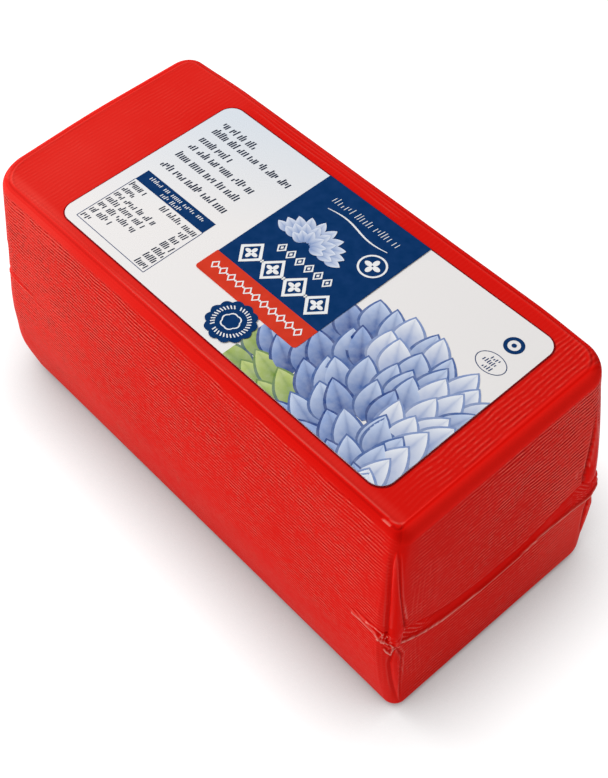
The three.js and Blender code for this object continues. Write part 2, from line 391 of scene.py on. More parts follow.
PLEATS = [  # end, run from and to, height from and to, how deep
    (1, -43.5, -31, 58, 84, 0.06),
    (1, -58, -54, 64, 80, 0.03),
    (1, -56, -52, 26, 50, 0.06),
    (1, -43.5, -38, 22, 42, 0.05),
    (1, 34, 40, 54, 62, 0.12),
    (-1, -62, -54, 40, 90, 0.06),
    (-1, -44, -32, 66, 84, 0.07),
    (-1, 30, 45, 26, 50, 0.07),
    (-1, 32, 45, 70, 84, 0.07),
]

# %% The cross-sections of a tuck, a flap, a knot and a pleat
TUCK_GROOVE_AWAY, TUCK_FOLD_AWAY = 0.5, 1.6
TUCK_GROOVE_WIDTHS, TUCK_GROOVE_DEPTHS = (0.9, 0.4), (0.6, 0.4)  # on its left, on its right
TUCK_FOLD_WIDTH, TUCK_FOLD_OUT, TUCK_FLATTENING = 0.5, 0.12, 0.7
FLAP_WIDTH = 0.42
KNOT_PITCH, KNOT_BEND, KNOT_BODY = 2.6, 1.3, 0.2
KNOT_CREASES = [(0.3, 1), (1.2, 0.8), (2.2, 0.9), (2.9, 0.6)]  # angle, size
PLEAT_PITCH, PLEAT_SOFT_ACROSS, PLEAT_SOFT_UP = 1.9, 1.5, 8


def tuck_relief(run, z, stations, out):
    """How far a tuck stands out, and how far it covers what lies under it."""
    heights, runs, halves = (np.array(column, float) for column in zip(*sorted(stations)))
    centre = np.interp(z, heights, runs)
    half = np.interp(z, heights, halves, left=0, right=0)
    widest = halves.max()
    across = (run - centre) / np.maximum(half, 0.05)
    crown = np.sqrt(np.clip(1 - across**2, 0, 1)) * (half / widest) ** TUCK_FLATTENING
    beside = np.abs(run - centre) - half
    on_left = run < centre
    groove = bump(beside - TUCK_GROOVE_AWAY, np.where(on_left, *TUCK_GROOVE_WIDTHS))
    groove *= ease(half, 0, widest / 2)
    fold = bump(beside - TUCK_FOLD_AWAY, TUCK_FOLD_WIDTH) * ease(half, 0.5, widest)
    relief = out * (crown - np.where(on_left, *TUCK_GROOVE_DEPTHS) * groove + TUCK_FOLD_OUT * fold)
    return relief, ease(crown, 0, 0.5)


def bulge_relief(run, z, place, height, half_width, half_height, out):
    return out * bump(run - place, half_width) * bump(z - height, half_height)


def flap_relief(run, z, places, out):
    """A small sharp fold along a line of places."""
    nearest = np.full_like(run, np.inf)
    for (from_run, from_z), (to_run, to_z) in zip(places, places[1:]):
        step_run, step_z = to_run - from_run, to_z - from_z
        along = (run - from_run) * step_run + (z - from_z) * step_z
        share = np.clip(along / (step_run**2 + step_z**2), 0, 1)
        off_run = run - from_run - share * step_run
        off_z = z - from_z - share * step_z
        nearest = np.minimum(nearest, np.hypot(off_run, off_z))
    return out * bump(nearest, FLAP_WIDTH)


def creased(run, z, pitch):
    """A crumpled pattern of sharp ridges: folds in several directions that bend each other."""
    total = np.zeros_like(run)
    for angle, size in KNOT_CREASES:
        along = run * math.cos(angle) + z * math.sin(angle)
        across = z * math.cos(angle) - run * math.sin(angle)
        bent = math.pi * along / pitch + KNOT_BEND * np.sin(across / pitch + angle)
        total += size * (1 - 2 * np.abs(np.sin(bent)))
    return total / 2


def knot_relief(run, z, place, height, half_width, half_height, out, crumpled):
    here = bulge_relief(run, z, place, height, half_width, half_height, out)
    return here * (between(1, KNOT_BODY, crumpled) + crumpled * creased(run, z, KNOT_PITCH))


def pleat_relief(run, z, run_low, run_high, low, high, depth):
    here = window(run, run_low, run_high, PLEAT_SOFT_ACROSS) * window(z, low, high, PLEAT_SOFT_UP)
    wander = run + 0.5 * np.sin(z / 9)
    return depth * here * np.cos(2 * math.pi * wander / PLEAT_PITCH)


# %% [markdown]
# ## The rim and the creases on top
# Where the flat top ends, the film stands up in a fine crest with a groove outside it, clearest along the
# long sides. Both lie on the rounded edge, so they are measured along the surface from where the top ends.
# Beside the label lie a few fine creases as well.

# %% Rim, creases and swell
CREST_PLACE, CREST_OUT, CREST_WIDTH = 0.5, 0.14, 0.4
GROOVE_PLACE, GROOVE_IN, GROOVE_WIDTH = -0.6, 0.26, 0.42
RIM_ON_NEAR_END, RIM_ON_FAR_END = 0.4, 1
CREST_FULLER, CREST_WIDENING = (30, 105), 0.9  # along the block from, to
CREASES = [  # place across, from and to along the block, how far they stand out
    (46.6, -62, 10, 0.16),
    (48.2, -62, 10, 0.16),
    (-48.2, -90, 26, 0.13),
]
CREASE_WIDTH, CREASE_END = 0.45, 12
SWELL, SWOLLEN_PART = 0.22, (14, 100, 10)


def rim_relief(inside, x, side_share):
    """`inside` is the way along the surface from the end of the flat top, inwards."""
    fuller = ease(x, *CREST_FULLER)
    width = CREST_WIDTH * (1 + CREST_WIDENING * fuller)
    crest = CREST_OUT * (1 + fuller) * bump(inside - CREST_PLACE, width)
    groove = GROOVE_IN * bump(inside - GROOVE_PLACE, GROOVE_WIDTH)
    on_ends = np.where(x > 0, RIM_ON_NEAR_END, RIM_ON_FAR_END)
    return (crest - groove) * (on_ends + (1 - on_ends) * side_share)


def crease_relief(x, y):
    wander = y + 0.3 * np.sin(x / 9)
    total = np.zeros_like(x)
    for place, low, high, out in CREASES:
        total += out * window(x, low, high, CREASE_END) * bump(wander - place, CREASE_WIDTH)
    return total


def swell(x, y, z):
    """Broad unevenness of the cheese under its film."""
    waves = np.sin(x / 17 + y / 12 + 1) * np.sin(z / 15 + 0.5) + 0.6 * np.sin((x - y) / 23 + z / 19 + 2)
    return SWELL * waves * window(z, *SWOLLEN_PART)


# %% [markdown]
# Now all of it comes together. The folds push the walls in or out along `way`, and the rim moves points
# square to the rounded edge, so its share up and its share out follow the edge's lean.

# %% Fold the film round the block
CLEAR_OF_FOOT, CLEAR_OF_TOP = (1, 8), (106, 112)
SEAM_UNDER_TUCK = 0.2
BOWED_WIDTH, BOWED_LENGTH = (-10, 60), (78, 112)


def film_relief(x, y, run, z):
    tucks = np.zeros_like(x)
    covered = np.zeros_like(x)
    for end, stations, out in TUCKS:
        relief, cover = tuck_relief(run, z, stations, out)
        tucks += (np.sign(x) == end) * relief
        covered = np.maximum(covered, (np.sign(x) == end) * cover)
    total = swell(x, y, z) + tucks
    for end, seam in ((1, NEAR_SEAM), (-1, FAR_SEAM)):
        total += (np.sign(x) == end) * between(1, SEAM_UNDER_TUCK, covered) * seam_relief(run, z, seam)
    kinds = [(knot_relief, KNOTS), (bulge_relief, BULGES), (flap_relief, FLAPS), (pleat_relief, PLEATS)]
    for relief_of, items in kinds:
        for end, *sizes in items:
            total += (np.sign(x) == end) * relief_of(run, z, *sizes)
    return total * ease(z, *CLEAR_OF_FOOT) * (1 - ease(z, *CLEAR_OF_TOP))


def bow_in(placed, z):
    """Bows the far end in towards the front and the back in towards both ends, and skews the foot."""
    endward = (placed[:, 0] / TOP_HALF_LENGTH) ** 2
    sideward = placed[:, 1] / TOP_HALF_WIDTH
    end_shift = END_BOW * ease(-placed[:, 1], *BOWED_WIDTH) * endward * (placed[:, 0] < 0)
    skew = FOOT_SKEW * (1 - z / HEIGHT) * sideward * endward * (placed[:, 0] > 0)
    side_shift = SIDE_BOW * ease(np.abs(placed[:, 0]), *BOWED_LENGTH) * np.maximum(sideward, 0) ** 2
    return placed + np.stack([end_shift + skew, -side_shift], 1)


def wrap(x, y, z):
    """The places of the film's vertices, and how far each was moved off the plain rounded form."""
    inset = np.minimum(TOP_HALF_LENGTH - np.abs(x), TOP_HALF_WIDTH - np.abs(y))
    facing_end = way[:, 0] ** 2
    upper = z > HEIGHT / 2
    depth = np.where(upper, HEIGHT - z, z)
    new_inset, new_depth = round_edge(inset, depth, np.where(upper, top_radius, FOOT_EDGE_RADIUS))
    across = top_radius - new_inset
    along = top_radius - new_depth
    lean = np.arctan2(np.maximum(across, 0), np.maximum(along, 0))
    inside = np.where(across > 0, -top_radius * lean - np.maximum(-along, 0), -across)
    rim = np.where(upper, rim_relief(inside, x, 1 - facing_end), 0)
    new_z = np.where(upper, HEIGHT - new_depth, new_depth)
    spread = np.where(inset < corner_radius, corner_radius - new_inset, 0)
    placed = core + way * spread[:, None]
    folds = np.where(on_wall, film_relief(x, y, run, new_z), 0)
    placed[:, 0] *= half_length_at(new_z) / TOP_HALF_LENGTH
    placed[:, 1] *= half_width_at(new_z) / TOP_HALF_WIDTH
    placed = bow_in(placed, new_z)
    placed += way * (folds + rim * np.sin(lean))[:, None]
    creases = np.where(z == HEIGHT, crease_relief(placed[:, 0], placed[:, 1]), 0)
    return np.column_stack([placed, new_z + rim * np.cos(lean) + creases]), folds + rim + creases


film_places, moved_off = wrap(box_x, box_y, box_z)
film_mesh.vertices.foreach_set("co", (film_places * MM).astype(np.float32).ravel())
film_mesh.polygons.foreach_set("use_smooth", np.ones(len(film_mesh.polygons), bool))
film_mesh.update()
print("film from", film_places.min(0).round(1), "to", film_places.max(0).round(1), "mm")

# %% [markdown]
# ## Where the finish changes
# Five attributes go with the mesh for its finish. `ribs` says how strongly the film's fine ribs show, because
# they are pulled flat where the film is drawn tight; it sets their bump and also their painted highlights and
# painted shade. The sheen attribute is a painted sheen: a whitish reflection of the bright studio painted
# into the red on parts of the walls, the top and the edges. `drawn` marks the tight film: the rounded edges,
# the hollow above a seam and the tucks, where the red is deeper; along the groove on the near end's rounded
# edge and at the near front corner's tip it holds painted shade. `fold` is how far a vertex stands over its
# neighbours: a sharp fold gets a painted highlight and a crease painted shade. `lit` is the smooth rounded
# edge over the near end, where a brighter red is painted on as painted light. They could be painted by hand.
# Here each is worked out from the form, so that it follows every change.

# %% The faces and the rounded edge of the top
FACING = 0.7
SHARPER_FRONT_EDGE, SHARPER_ALONG = 1.6, (-60, 90)
LIT_FACING = (0.4, 0.9)

film_x, film_y, film_z = film_places.T
on_front, on_rear, on_end = way[:, 1] < -FACING, way[:, 1] > FACING, np.abs(way[:, 0]) > FACING
edge_foot = HEIGHT - top_radius + SHARPER_FRONT_EDGE * ease(film_x, *SHARPER_ALONG) * on_front
inset = np.minimum(half_length_at(film_z) - np.abs(film_x), half_width_at(film_z) - np.abs(film_y))
from_flat = inset - top_radius
rounded = ease(film_z, edge_foot - 1, edge_foot + 1) * (1 - ease(from_flat, 0, 1))
lit = rounded * ease(way[:, 0], *LIT_FACING)
flat_top = (film_z > HEIGHT - 1) * ~on_wall * (1 - rounded)
print("vertices on the rounded edge", int((rounded > 0.5).sum()), "on the flat top", int(flat_top.sum()))

# %% Where the film is drawn tight
DRAWN_ON_TUCKS, DRAWN_ON_CORNERS, DRAWN_ON_SIDE_EDGES = 0.8, 0.7, 0.4
CORNER_RUN, CORNER_REACH, CORNER_RISE = 50.8, 4, (50, 105)
LIP_PART = (0.85, 1.6, 0.1)  # of the hollow's height: from, to, soft edge
GROOVE_SHADE_WIDTH = 0.7

hollow, lip, tucked = np.zeros((3, len(film_x)))
for half, seam in ((film_x > 0, NEAR_SEAM), (film_x < 0, FAR_SEAM)):
    sunk, share, _ = sunk_share(run, film_z, seam)
    hollow += half * ease(sunk, 0, 0.3) * ease(seam["hollow_in"](run), 0.2, 1)
    lip = np.maximum(lip, half * window(share, *LIP_PART))
for end, stations, out in TUCKS:
    _, cover = tuck_relief(run, film_z, stations, out)
    tucked += (np.sign(film_x) == end) * (cover > 0.1)
on_corner = bump(np.abs(run) - CORNER_RUN, CORNER_REACH) * ease(film_z, *CORNER_RISE)
drawn = np.clip(hollow + DRAWN_ON_TUCKS * tucked + DRAWN_ON_CORNERS * on_corner, 0, 1) * on_wall
# Painted shade along the groove on the near end's lit rounded edge; it goes into drawn.
groove_shade = lit * bump(from_flat - GROOVE_PLACE, GROOVE_SHADE_WIDTH)
drawn = np.maximum(drawn, DRAWN_ON_SIDE_EDGES * (rounded - lit) + groove_shade)
print("drawn tight on average", drawn.mean().round(2))

# %% Where the ribs show
FRONT_RIBS, REAR_RIBS, END_RIBS = (0.5, 0.95), (0.5, 0.9), (0.3, 1.4)  # low on the wall, high on it
FRONT_RIBS_ALONG = (1.3, 0.7)  # at the far end, at the near end
TOP_RIBS, RIGHT_STRIP_RIBS, FAR_STRIP_RIBS = 0.03, 0.288, 0.05
RIBS_LOST_AT_CORNERS = 0.9
RIBS_END_BELOW_TOP = (0.65, 0.45)  # shares of the top edge's radius
SMOOTH_NEAR_FRONT, SMOOTH_NEAR_BACK, SMOOTH_FAR = (-51, 6), (43, 7), 3.5  # run, how far to each side
SMOOTH_NEAR_BACK_FADE = (-105, -60)


def smooth_corners(x, z):
    """1 where the film is pulled smooth beside an upright edge, so that no rib shows."""
    front_run, front_reach = SMOOTH_NEAR_FRONT
    back_run, back_reach = SMOOTH_NEAR_BACK
    near_front = bump(run - front_run, front_reach)
    near_back = bump(run - back_run, back_reach) * ease(-z, *SMOOTH_NEAR_BACK_FADE)
    far = bump(np.abs(run) - CORNER_RUN, SMOOTH_FAR)
    return (near_front + near_back) * (x > 0) + far * (x < 0)


high = ease(film_z, 10, 90)
front = on_front * between(*FRONT_RIBS, high) * between(*FRONT_RIBS_ALONG, ease(film_x, -100, 60))
rear = on_rear * between(*REAR_RIBS, high)
end = on_end * between(*END_RIBS, high * ease(film_y, -45, 40))
walls = np.where(on_wall, np.maximum(np.maximum(front, rear), end), 0) * (1 - drawn)
walls *= (1 - RIBS_LOST_AT_CORNERS * smooth_corners(film_x, film_z)) * (1 - rounded)
walls *= 1 - ease(film_z, *(HEIGHT - share * top_radius for share in RIBS_END_BELOW_TOP))
right_strip = ease(film_x, 92, 100) * ease(film_y, -46, -8)
far_strip = ease(-film_x, 70, 80)
# The same share sets the ribs' bump and their painted highlights and painted shade in the film's material.
ribs = walls + flat_top * (TOP_RIBS + RIGHT_STRIP_RIBS * right_strip + FAR_STRIP_RIBS * far_strip)
print("ribs on average", ribs.mean().round(2))

# %% Where the film gets a painted sheen
FRONT_SHEEN, END_SHEEN, REAR_SHEEN, EDGE_SHEEN = 0.42, 0.42, 0.1, 0.3
FAR_TOP_SHEEN, FRONT_TOP_SHEEN = 0.18, 0.2
LEAST_FRONT_SHEEN, LEAST_SHEEN = 0.06, 0.03

front = on_front * (LEAST_FRONT_SHEEN + FRONT_SHEEN * ease(-film_x, 10, 100) * between(0.5, 1, high))
end = on_end * (LEAST_SHEEN + END_SHEEN * ease(film_y, 5, 45))
painted_sheen = on_wall * np.maximum(np.maximum(front, end), REAR_SHEEN * on_rear) * (1 - drawn)
on_far_top, on_front_top = ease(-film_x, 40, 100), ease(-film_y, 44, 47)
painted_sheen += flat_top * (LEAST_SHEEN + FAR_TOP_SHEEN * on_far_top + FRONT_TOP_SHEEN * on_front_top)
painted_sheen += EDGE_SHEEN * (rounded - lit) * ease(-film_x, -60, 60)
print("haze on average", painted_sheen.mean().round(2))

# %% [markdown]
# Some places get painted highlights or painted shade beyond what their folds alone give them. A thin painted
# highlight follows the rim on the front, and turns off round the flat top's near front corner in a small arc.
# Outside it the tip of the corner gets painted shade, but for one painted glint. The thin flaps of the knots
# get painted highlights, and the front's rounded edge gets painted shade, more towards the near end.

# %% Painted highlights and painted shade
HIGHLIGHT_LINE, HIGHLIGHT_LINE_WIDTH = 0.35, 0.45
HIGHLIGHT_ARC, HIGHLIGHT_ARC_WIDTH = 0.45, 0.5
FLAP_HIGHLIGHT = 0.4
GLINT_ALONG, GLINT_ACROSS = (105.5, 108.5, 0.8), (50.6, 51.3, 0.4)  # from, to, soft edge
PLATEAU_CORNER = (107.2, -46.1)
PLATEAU_RADIUS = 3.8
TIP_PLACE, TIP_REACH, TIP_SHADE = (112.3, -50.9), 3, 0.3
EDGE_SHADE = (0.13, 0.3)  # at the far end, at the near end
FOLD_ON_TUCKS, FOLD_ON_LIP = 0.6, 0.1

# Painted highlights: a glint by the near front corner, a thin line along the front rim, an arc round the flat
# top's corner, and the knots' flaps.
glint = window(film_x, *GLINT_ALONG) * window(-film_y, *GLINT_ACROSS) * (film_z > HEIGHT - 3)
line = bump(from_flat - CREST_PLACE, HIGHLIGHT_LINE_WIDTH) * ease(-film_y, 44, 48) * ease(film_x, -70, 0)
line *= 1 - ease(film_x, 105.5, 107.5)
past_x, past_y = film_x - PLATEAU_CORNER[0], PLATEAU_CORNER[1] - film_y
past_corner = np.hypot(past_x, past_y)
arc = bump(past_corner - PLATEAU_RADIUS, HIGHLIGHT_ARC_WIDTH) * ease(past_x, -1, 0.5) * ease(past_y, 0, 2)
flaps = np.zeros_like(film_x)
for end, places, _ in FLAPS:
    flaps += (np.sign(film_x) == end) * flap_relief(run, film_z, places, 1) ** 2
painted_highlights = glint + (HIGHLIGHT_LINE * line + HIGHLIGHT_ARC * arc) * (film_z > HEIGHT - 1) + FLAP_HIGHLIGHT * flaps
# Painted shade at the tip of the near front corner, outside the flat top's arc.
tip = bump(np.hypot(film_x - TIP_PLACE[0], film_y - TIP_PLACE[1]), TIP_REACH) * (film_z > HEIGHT - 8)
tip *= ease(past_corner, PLATEAU_RADIUS, PLATEAU_RADIUS + 1)
# Painted shade on the front's rounded edge, stronger towards the near end, and at the corner tip.
painted_shade = rounded * on_front * between(*EDGE_SHADE, ease(film_x, 60, 108)) + TIP_SHADE * tip
drawn = np.maximum(drawn, tip)
fold_share = np.where(tucked > 0, FOLD_ON_TUCKS, 1) * between(1, FOLD_ON_LIP, lip)

# %% Sharp folds and creases, and the five attributes
CREST_ROUNDS, FULL_CREST = 3, 0.2
CREASE_ROUNDS, FULL_CREASE = 14, 0.6


def standing_over(mesh, moved, rounds):
    """How far each vertex's moved-off value stands over a smoothed one, smoothed by its neighbours."""
    ends = np.empty(2 * len(mesh.edges), int)
    mesh.edges.foreach_get("vertices", ends)
    first, second = ends.reshape(-1, 2).T
    ties = np.bincount(ends, minlength=len(moved))
    smooth = moved.copy()
    for _ in range(rounds):
        total = np.bincount(first, smooth[second], len(moved))
        total += np.bincount(second, smooth[first], len(moved))
        smooth = (smooth + total / ties) / 2
    return moved - smooth


# Crests get a painted highlight and creases painted shade, through the fold attribute.
crest = np.clip(standing_over(film_mesh, moved_off, CREST_ROUNDS) / FULL_CREST, 0, 1)
crease = np.clip(-standing_over(film_mesh, moved_off, CREASE_ROUNDS) / FULL_CREASE, 0, 1)
fold = np.clip(crest * fold_share - crease * (1 - crest) + painted_highlights - painted_shade, -1, 1)
finish = {"ribs": ribs, "painted_sheen": painted_sheen, "drawn": drawn, "fold": fold, "lit": lit}
for attribute, values in finish.items():
    layer = film_mesh.attributes.new(attribute, "FLOAT", "POINT")
    layer.data.foreach_set("value", values.astype(np.float32))
    print(attribute, "from", values.min().round(2), "to", values.max().round(2))

# %% [markdown]
# ## The film's finish
# The film is a satin red plastic. One material does it all: a sine of the height gives the ribs round the
# walls, a sine of the length those on top, a little noise bends both, and a finer noise breaks up the
# gloss. The ribs get a bump, and a painted highlight on their crests and painted shade in their troughs. The
# five attributes then add a painted sheen, painted light, painted highlights and painted shade to the red,
# and deepen it where the film is tight. Small helpers keep the node building short.

# %% Node helpers
NOISE_LOW, NOISE_HIGH = 0.3, 0.7


def new_material(name):
    """A material with only a Principled shader and the coordinates, which are its node `place`."""
    material = bpy.data.materials.new(name)
    material.use_nodes = True
    tree = material.node_tree
    tree.nodes.clear()
    output = tree.nodes.new("ShaderNodeOutputMaterial")
    shader = tree.nodes.new("ShaderNodeBsdfPrincipled")
    tree.links.new(shader.outputs[0], output.inputs["Surface"])
    tree.nodes.new("ShaderNodeTexCoord").name = "place"
    return material, tree, shader


def link(tree, source, target):
    tree.links.new(source, target)


def fill(tree, socket, value):
    """Gives an input a number or a colour, or links another node's output to it."""
    if isinstance(value, (int, float)):
        socket.default_value = value
    elif isinstance(value, tuple):
        socket.default_value = (*value, 1)
    else:
        link(tree, value, socket)


def fill_shader(tree, shader, values):
    for name, value in values.items():
        fill(tree, shader.inputs[name], value)


def math_node(tree, operation, first, second=0.0):
    node = tree.nodes.new("ShaderNodeMath")
    node.operation = operation
    fill(tree, node.inputs[0], first)
    fill(tree, node.inputs[1], second)
    return node.outputs[0]


def times(tree, first, second):
    return math_node(tree, "MULTIPLY", first, second)


def above_zero(tree, value, factor):
    """A value times a factor, where that is above zero, and zero elsewhere."""
    return math_node(tree, "MAXIMUM", times(tree, value, factor), 0.0)


def axes_of(tree, vector):
    node = tree.nodes.new("ShaderNodeSeparateXYZ")
    link(tree, tree.nodes["place"].outputs[vector], node.inputs[0])
    return node.outputs


def noise_node(tree, scale, detail=3.0):
    """A noise over the object, with so many waves to a metre."""
    node = tree.nodes.new("ShaderNodeTexNoise")
    node.inputs["Scale"].default_value = scale
    node.inputs["Detail"].default_value = detail
    link(tree, tree.nodes["place"].outputs["Object"], node.inputs["Vector"])
    return node.outputs["Fac"]


def map_node(tree, value, low, high, start=NOISE_LOW, end=NOISE_HIGH):
    """Spreads a value over a range; a noise mostly lies between its usual low and high."""
    node = tree.nodes.new("ShaderNodeMapRange")
    for name, number in (("From Min", start), ("From Max", end), ("To Min", low), ("To Max", high)):
        node.inputs[name].default_value = number
    link(tree, value, node.inputs["Value"])
    return node.outputs[0]


def uneven(tree, scale, low, high, detail=3.0):
    """A value that wanders between low and high over the object."""
    return map_node(tree, noise_node(tree, scale, detail), low, high)


def mix_colour(tree, factor, first, second):
    node = tree.nodes.new("ShaderNodeMix")
    node.data_type = "RGBA"
    link(tree, factor, node.inputs["Factor"])
    fill(tree, node.inputs[6], first)
    fill(tree, node.inputs[7], second)
    return node.outputs[2]


def attribute_node(tree, name, output="Fac"):
    node = tree.nodes.new("ShaderNodeAttribute")
    node.attribute_name = name
    return node.outputs[output]


def bump_node(tree, height, distance, strength=1.0, normal=None):
    node = tree.nodes.new("ShaderNodeBump")
    node.inputs["Distance"].default_value = distance
    node.inputs["Strength"].default_value = strength
    link(tree, height, node.inputs["Height"])
    if normal is not None:
        link(tree, normal, node.inputs["Normal"])
    return node.outputs["Normal"]


# %% The red film
# Besides the film's own red and its deeper red, these colours are painted light: a painted sheen, a brighter
# red of painted light, painted highlights on rib crests and folds, and painted shade in rib troughs and
# creases.
RED = (0.695, 0.008, 0.005)
SHEEN_RED = (0.90, 0.075, 0.056)
PAINTED_LIGHT_RED = (0.93, 0.014, 0.009)
DEEP_RED = (0.80, 0.006, 0.003)
RIB_HIGHLIGHT_RED = (0.88, 0.11, 0.08)
RIB_SHADE_RED = (0.46, 0.002, 0.002)
HIGHLIGHT_RED = (0.90, 0.28, 0.22)
SHADE_RED = (0.30, 0.002, 0.002)
FRONT_RIB_PITCH = 1.6
END_RIB_PITCH = 2.1
TOP_RIB_PITCH = 1.75
RIB_FACING = 0.6
BEND_WAVES, PATCH_WAVES, UNEVEN_WAVES = 60, 90, 420  # waves to a metre
CLOUD_WAVES, GLOSS_WAVES, GRAIN_WAVES = 22, 120, 900
PATCHY_RIBS, UNEVEN_RIBS, CLOUDY_SHEEN = (0.5, 1.5), (0.1, 1.7), (0.6, 1.4)
FILM_ROUGHNESS = (0.33, 0.43)
RIB_BEND, RIB_HEIGHT, RIB_PAINTED_LIGHT = 0.3, 0.13, 0.8
GRAIN_HEIGHT, GRAIN_STRENGTH = 0.05, 0.6
TIGHT_GLOSS = 0.14
FOLD_HIGHLIGHT, FOLD_CURVE, CREASE_SHADING = 0.85, 1.6, 0.7
FOLD_COAT, FOLD_COAT_ROUGHNESS = 0.7, 0.15
FILM_SPECULAR = 0.003


def red_film():
    material, tree, shader = new_material("red_film")
    axes, facing = axes_of(tree, "Object"), axes_of(tree, "Normal")
    on_top = math_node(tree, "GREATER_THAN", facing["Z"], RIB_FACING)
    on_end = math_node(tree, "GREATER_THAN", math_node(tree, "ABSOLUTE", facing["X"]), RIB_FACING)
    on_wall = math_node(tree, "SUBTRACT", 1.0, on_top)
    on_front = times(tree, on_wall, math_node(tree, "SUBTRACT", 1.0, on_end))
    turns = uneven(tree, BEND_WAVES, -RIB_BEND, RIB_BEND, 2)
    sides = [(on_top, "X", TOP_RIB_PITCH), (on_end, "Z", END_RIB_PITCH), (on_front, "Z", FRONT_RIB_PITCH)]
    for share, axis, pitch in sides:
        turns = math_node(tree, "ADD", turns, times(tree, times(tree, axes[axis], 1 / (pitch * MM)), share))
    wave = math_node(tree, "SINE", times(tree, turns, 2 * math.pi))
    shown = times(tree, attribute_node(tree, "ribs"), uneven(tree, UNEVEN_WAVES, *UNEVEN_RIBS))
    rib = times(tree, wave, times(tree, shown, uneven(tree, PATCH_WAVES, *PATCHY_RIBS, 2)))
    ribbed = bump_node(tree, rib, RIB_HEIGHT * MM)
    grained = bump_node(tree, noise_node(tree, GRAIN_WAVES), GRAIN_HEIGHT * MM, GRAIN_STRENGTH, ribbed)
    # Painted sheen: a whitish reflection of the bright studio painted into the red.
    pale = times(tree, attribute_node(tree, "painted_sheen"), uneven(tree, CLOUD_WAVES, *CLOUDY_SHEEN))
    colour = mix_colour(tree, pale, RED, SHEEN_RED)
    # Painted highlight on the rib crests and painted shade in the rib troughs.
    colour = mix_colour(tree, above_zero(tree, rib, RIB_PAINTED_LIGHT), colour, RIB_HIGHLIGHT_RED)
    colour = mix_colour(tree, above_zero(tree, rib, -RIB_PAINTED_LIGHT), colour, RIB_SHADE_RED)
    # Painted light: a brighter red on the near end's rounded edge.
    colour = mix_colour(tree, attribute_node(tree, "lit"), colour, PAINTED_LIGHT_RED)
    tight = attribute_node(tree, "drawn")
    # A deeper red on tight film; along the rim's groove and at the corner tip this is painted shade.
    colour = mix_colour(tree, tight, colour, DEEP_RED)
    fold = attribute_node(tree, "fold")
    # Painted highlight on sharp folds, the glint, the pale rim line and the flaps; painted shade in creases,
    # at the corner tip and on the front's rounded edge.
    over = math_node(tree, "POWER", above_zero(tree, fold, FOLD_HIGHLIGHT), FOLD_CURVE)
    colour = mix_colour(tree, over, colour, HIGHLIGHT_RED)
    colour = mix_colour(tree, above_zero(tree, fold, -CREASE_SHADING), colour, SHADE_RED)
    gloss = uneven(tree, GLOSS_WAVES, *FILM_ROUGHNESS)
    roughness = math_node(tree, "SUBTRACT", gloss, times(tree, tight, TIGHT_GLOSS))
    coat = times(tree, over, FOLD_COAT)
    fill_shader(tree, shader, {"Base Color": colour, "Roughness": roughness, "Normal": grained,
                               "Specular IOR Level": FILM_SPECULAR,
                               "Coat Weight": coat, "Coat Roughness": FOLD_COAT_ROUGHNESS})
    return material


film_mesh.materials.append(red_film())
wrapped_cheese = in_scene("wrapped_cheese", film_mesh)
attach(wrapped_cheese, "root")
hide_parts("cheese_block")
print("film triangles", 2 * len(film_mesh.polygons))

# %% [markdown]
# ## The label's paper
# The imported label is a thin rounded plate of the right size, so it stays, and only gets a finish: coated
# white paper, cooler towards its back left corner, with a faint tooth in its gloss.

# %% Paper finish
PAPER_COOL = (0.72, 0.77, 0.83)
PAPER_WHITE = (0.865, 0.84, 0.83)
PAPER_COOL_END, PAPER_WHITE_END = -130, -20
COOLER_ACROSS = -1.6
PAPER_SPECULAR, PAPER_ROUGHNESS = 0.1, (0.38, 0.46)
TOOTH_WAVES, TOOTH_HEIGHT, TOOTH_STRENGTH = 1500, 0.01, 0.5


def label_paper():
    material, tree, shader = new_material("label_paper")
    axes = axes_of(tree, "Object")
    along = math_node(tree, "ADD", axes["X"], times(tree, axes["Y"], COOLER_ACROSS))
    whiter = map_node(tree, along, 0, 1, PAPER_COOL_END * MM, PAPER_WHITE_END * MM)
    colour = mix_colour(tree, whiter, PAPER_COOL, PAPER_WHITE)
    tooth = noise_node(tree, TOOTH_WAVES)
    fill_shader(tree, shader, {"Base Color": colour, "Roughness": map_node(tree, tooth, *PAPER_ROUGHNESS),
                               "Specular IOR Level": PAPER_SPECULAR,
                               "Normal": bump_node(tree, tooth, TOOTH_HEIGHT * MM, TOOTH_STRENGTH)})
    return material


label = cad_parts["label"]
label.data.materials.clear()
label.data.materials.append(label_paper())

# %% [markdown]
# ## Printing tools
# Print could be an image, but shapes keep sharp at any size. Each printed shape here starts flat, as a
# square or a circle placed on the label, and all shapes of one ink are then thickened together into one
# piece a few hundredths of a millimetre high. Places on the label are millimetres from its middle.

# %% Label frame and flat shapes
LABEL_CENTRE = Vector(((label_low.x + label_high.x) / 2, (label_low.y + label_high.y) / 2))
LABEL_TURN = math.radians(0.1)
LABEL_TOP = label_high.z
INK_HEIGHT = 0.03
LAYOUT_LENGTH, LAYOUT_WIDTH = 175.4, 89.7
label_size = label_high - label_low
to_size = Matrix.Diagonal((label_size.x / LAYOUT_LENGTH, label_size.y / LAYOUT_WIDTH, 1, 1))
on_label = Matrix.Translation((*LABEL_CENTRE, 0)) @ Matrix.Rotation(LABEL_TURN, 4, "Z") @ to_size


def placed(x, y, width, height, turn=0.0, slant=0.0):
    """The matrix that puts a unit shape on the label."""
    lean = Matrix.Identity(4)
    lean[0][1] = slant
    size = Matrix.Diagonal((width, height, 1, 1))
    return Matrix.Translation((x, y, 0)) @ Matrix.Rotation(turn, 4, "Z") @ lean @ size


def add_square(sheet, x, y, width, height, turn=0.0, slant=0.0):
    made = bmesh.ops.create_grid(sheet, x_segments=1, y_segments=1, size=0.5,
                                 matrix=placed(x, y, width, height, turn, slant))
    return made["verts"]


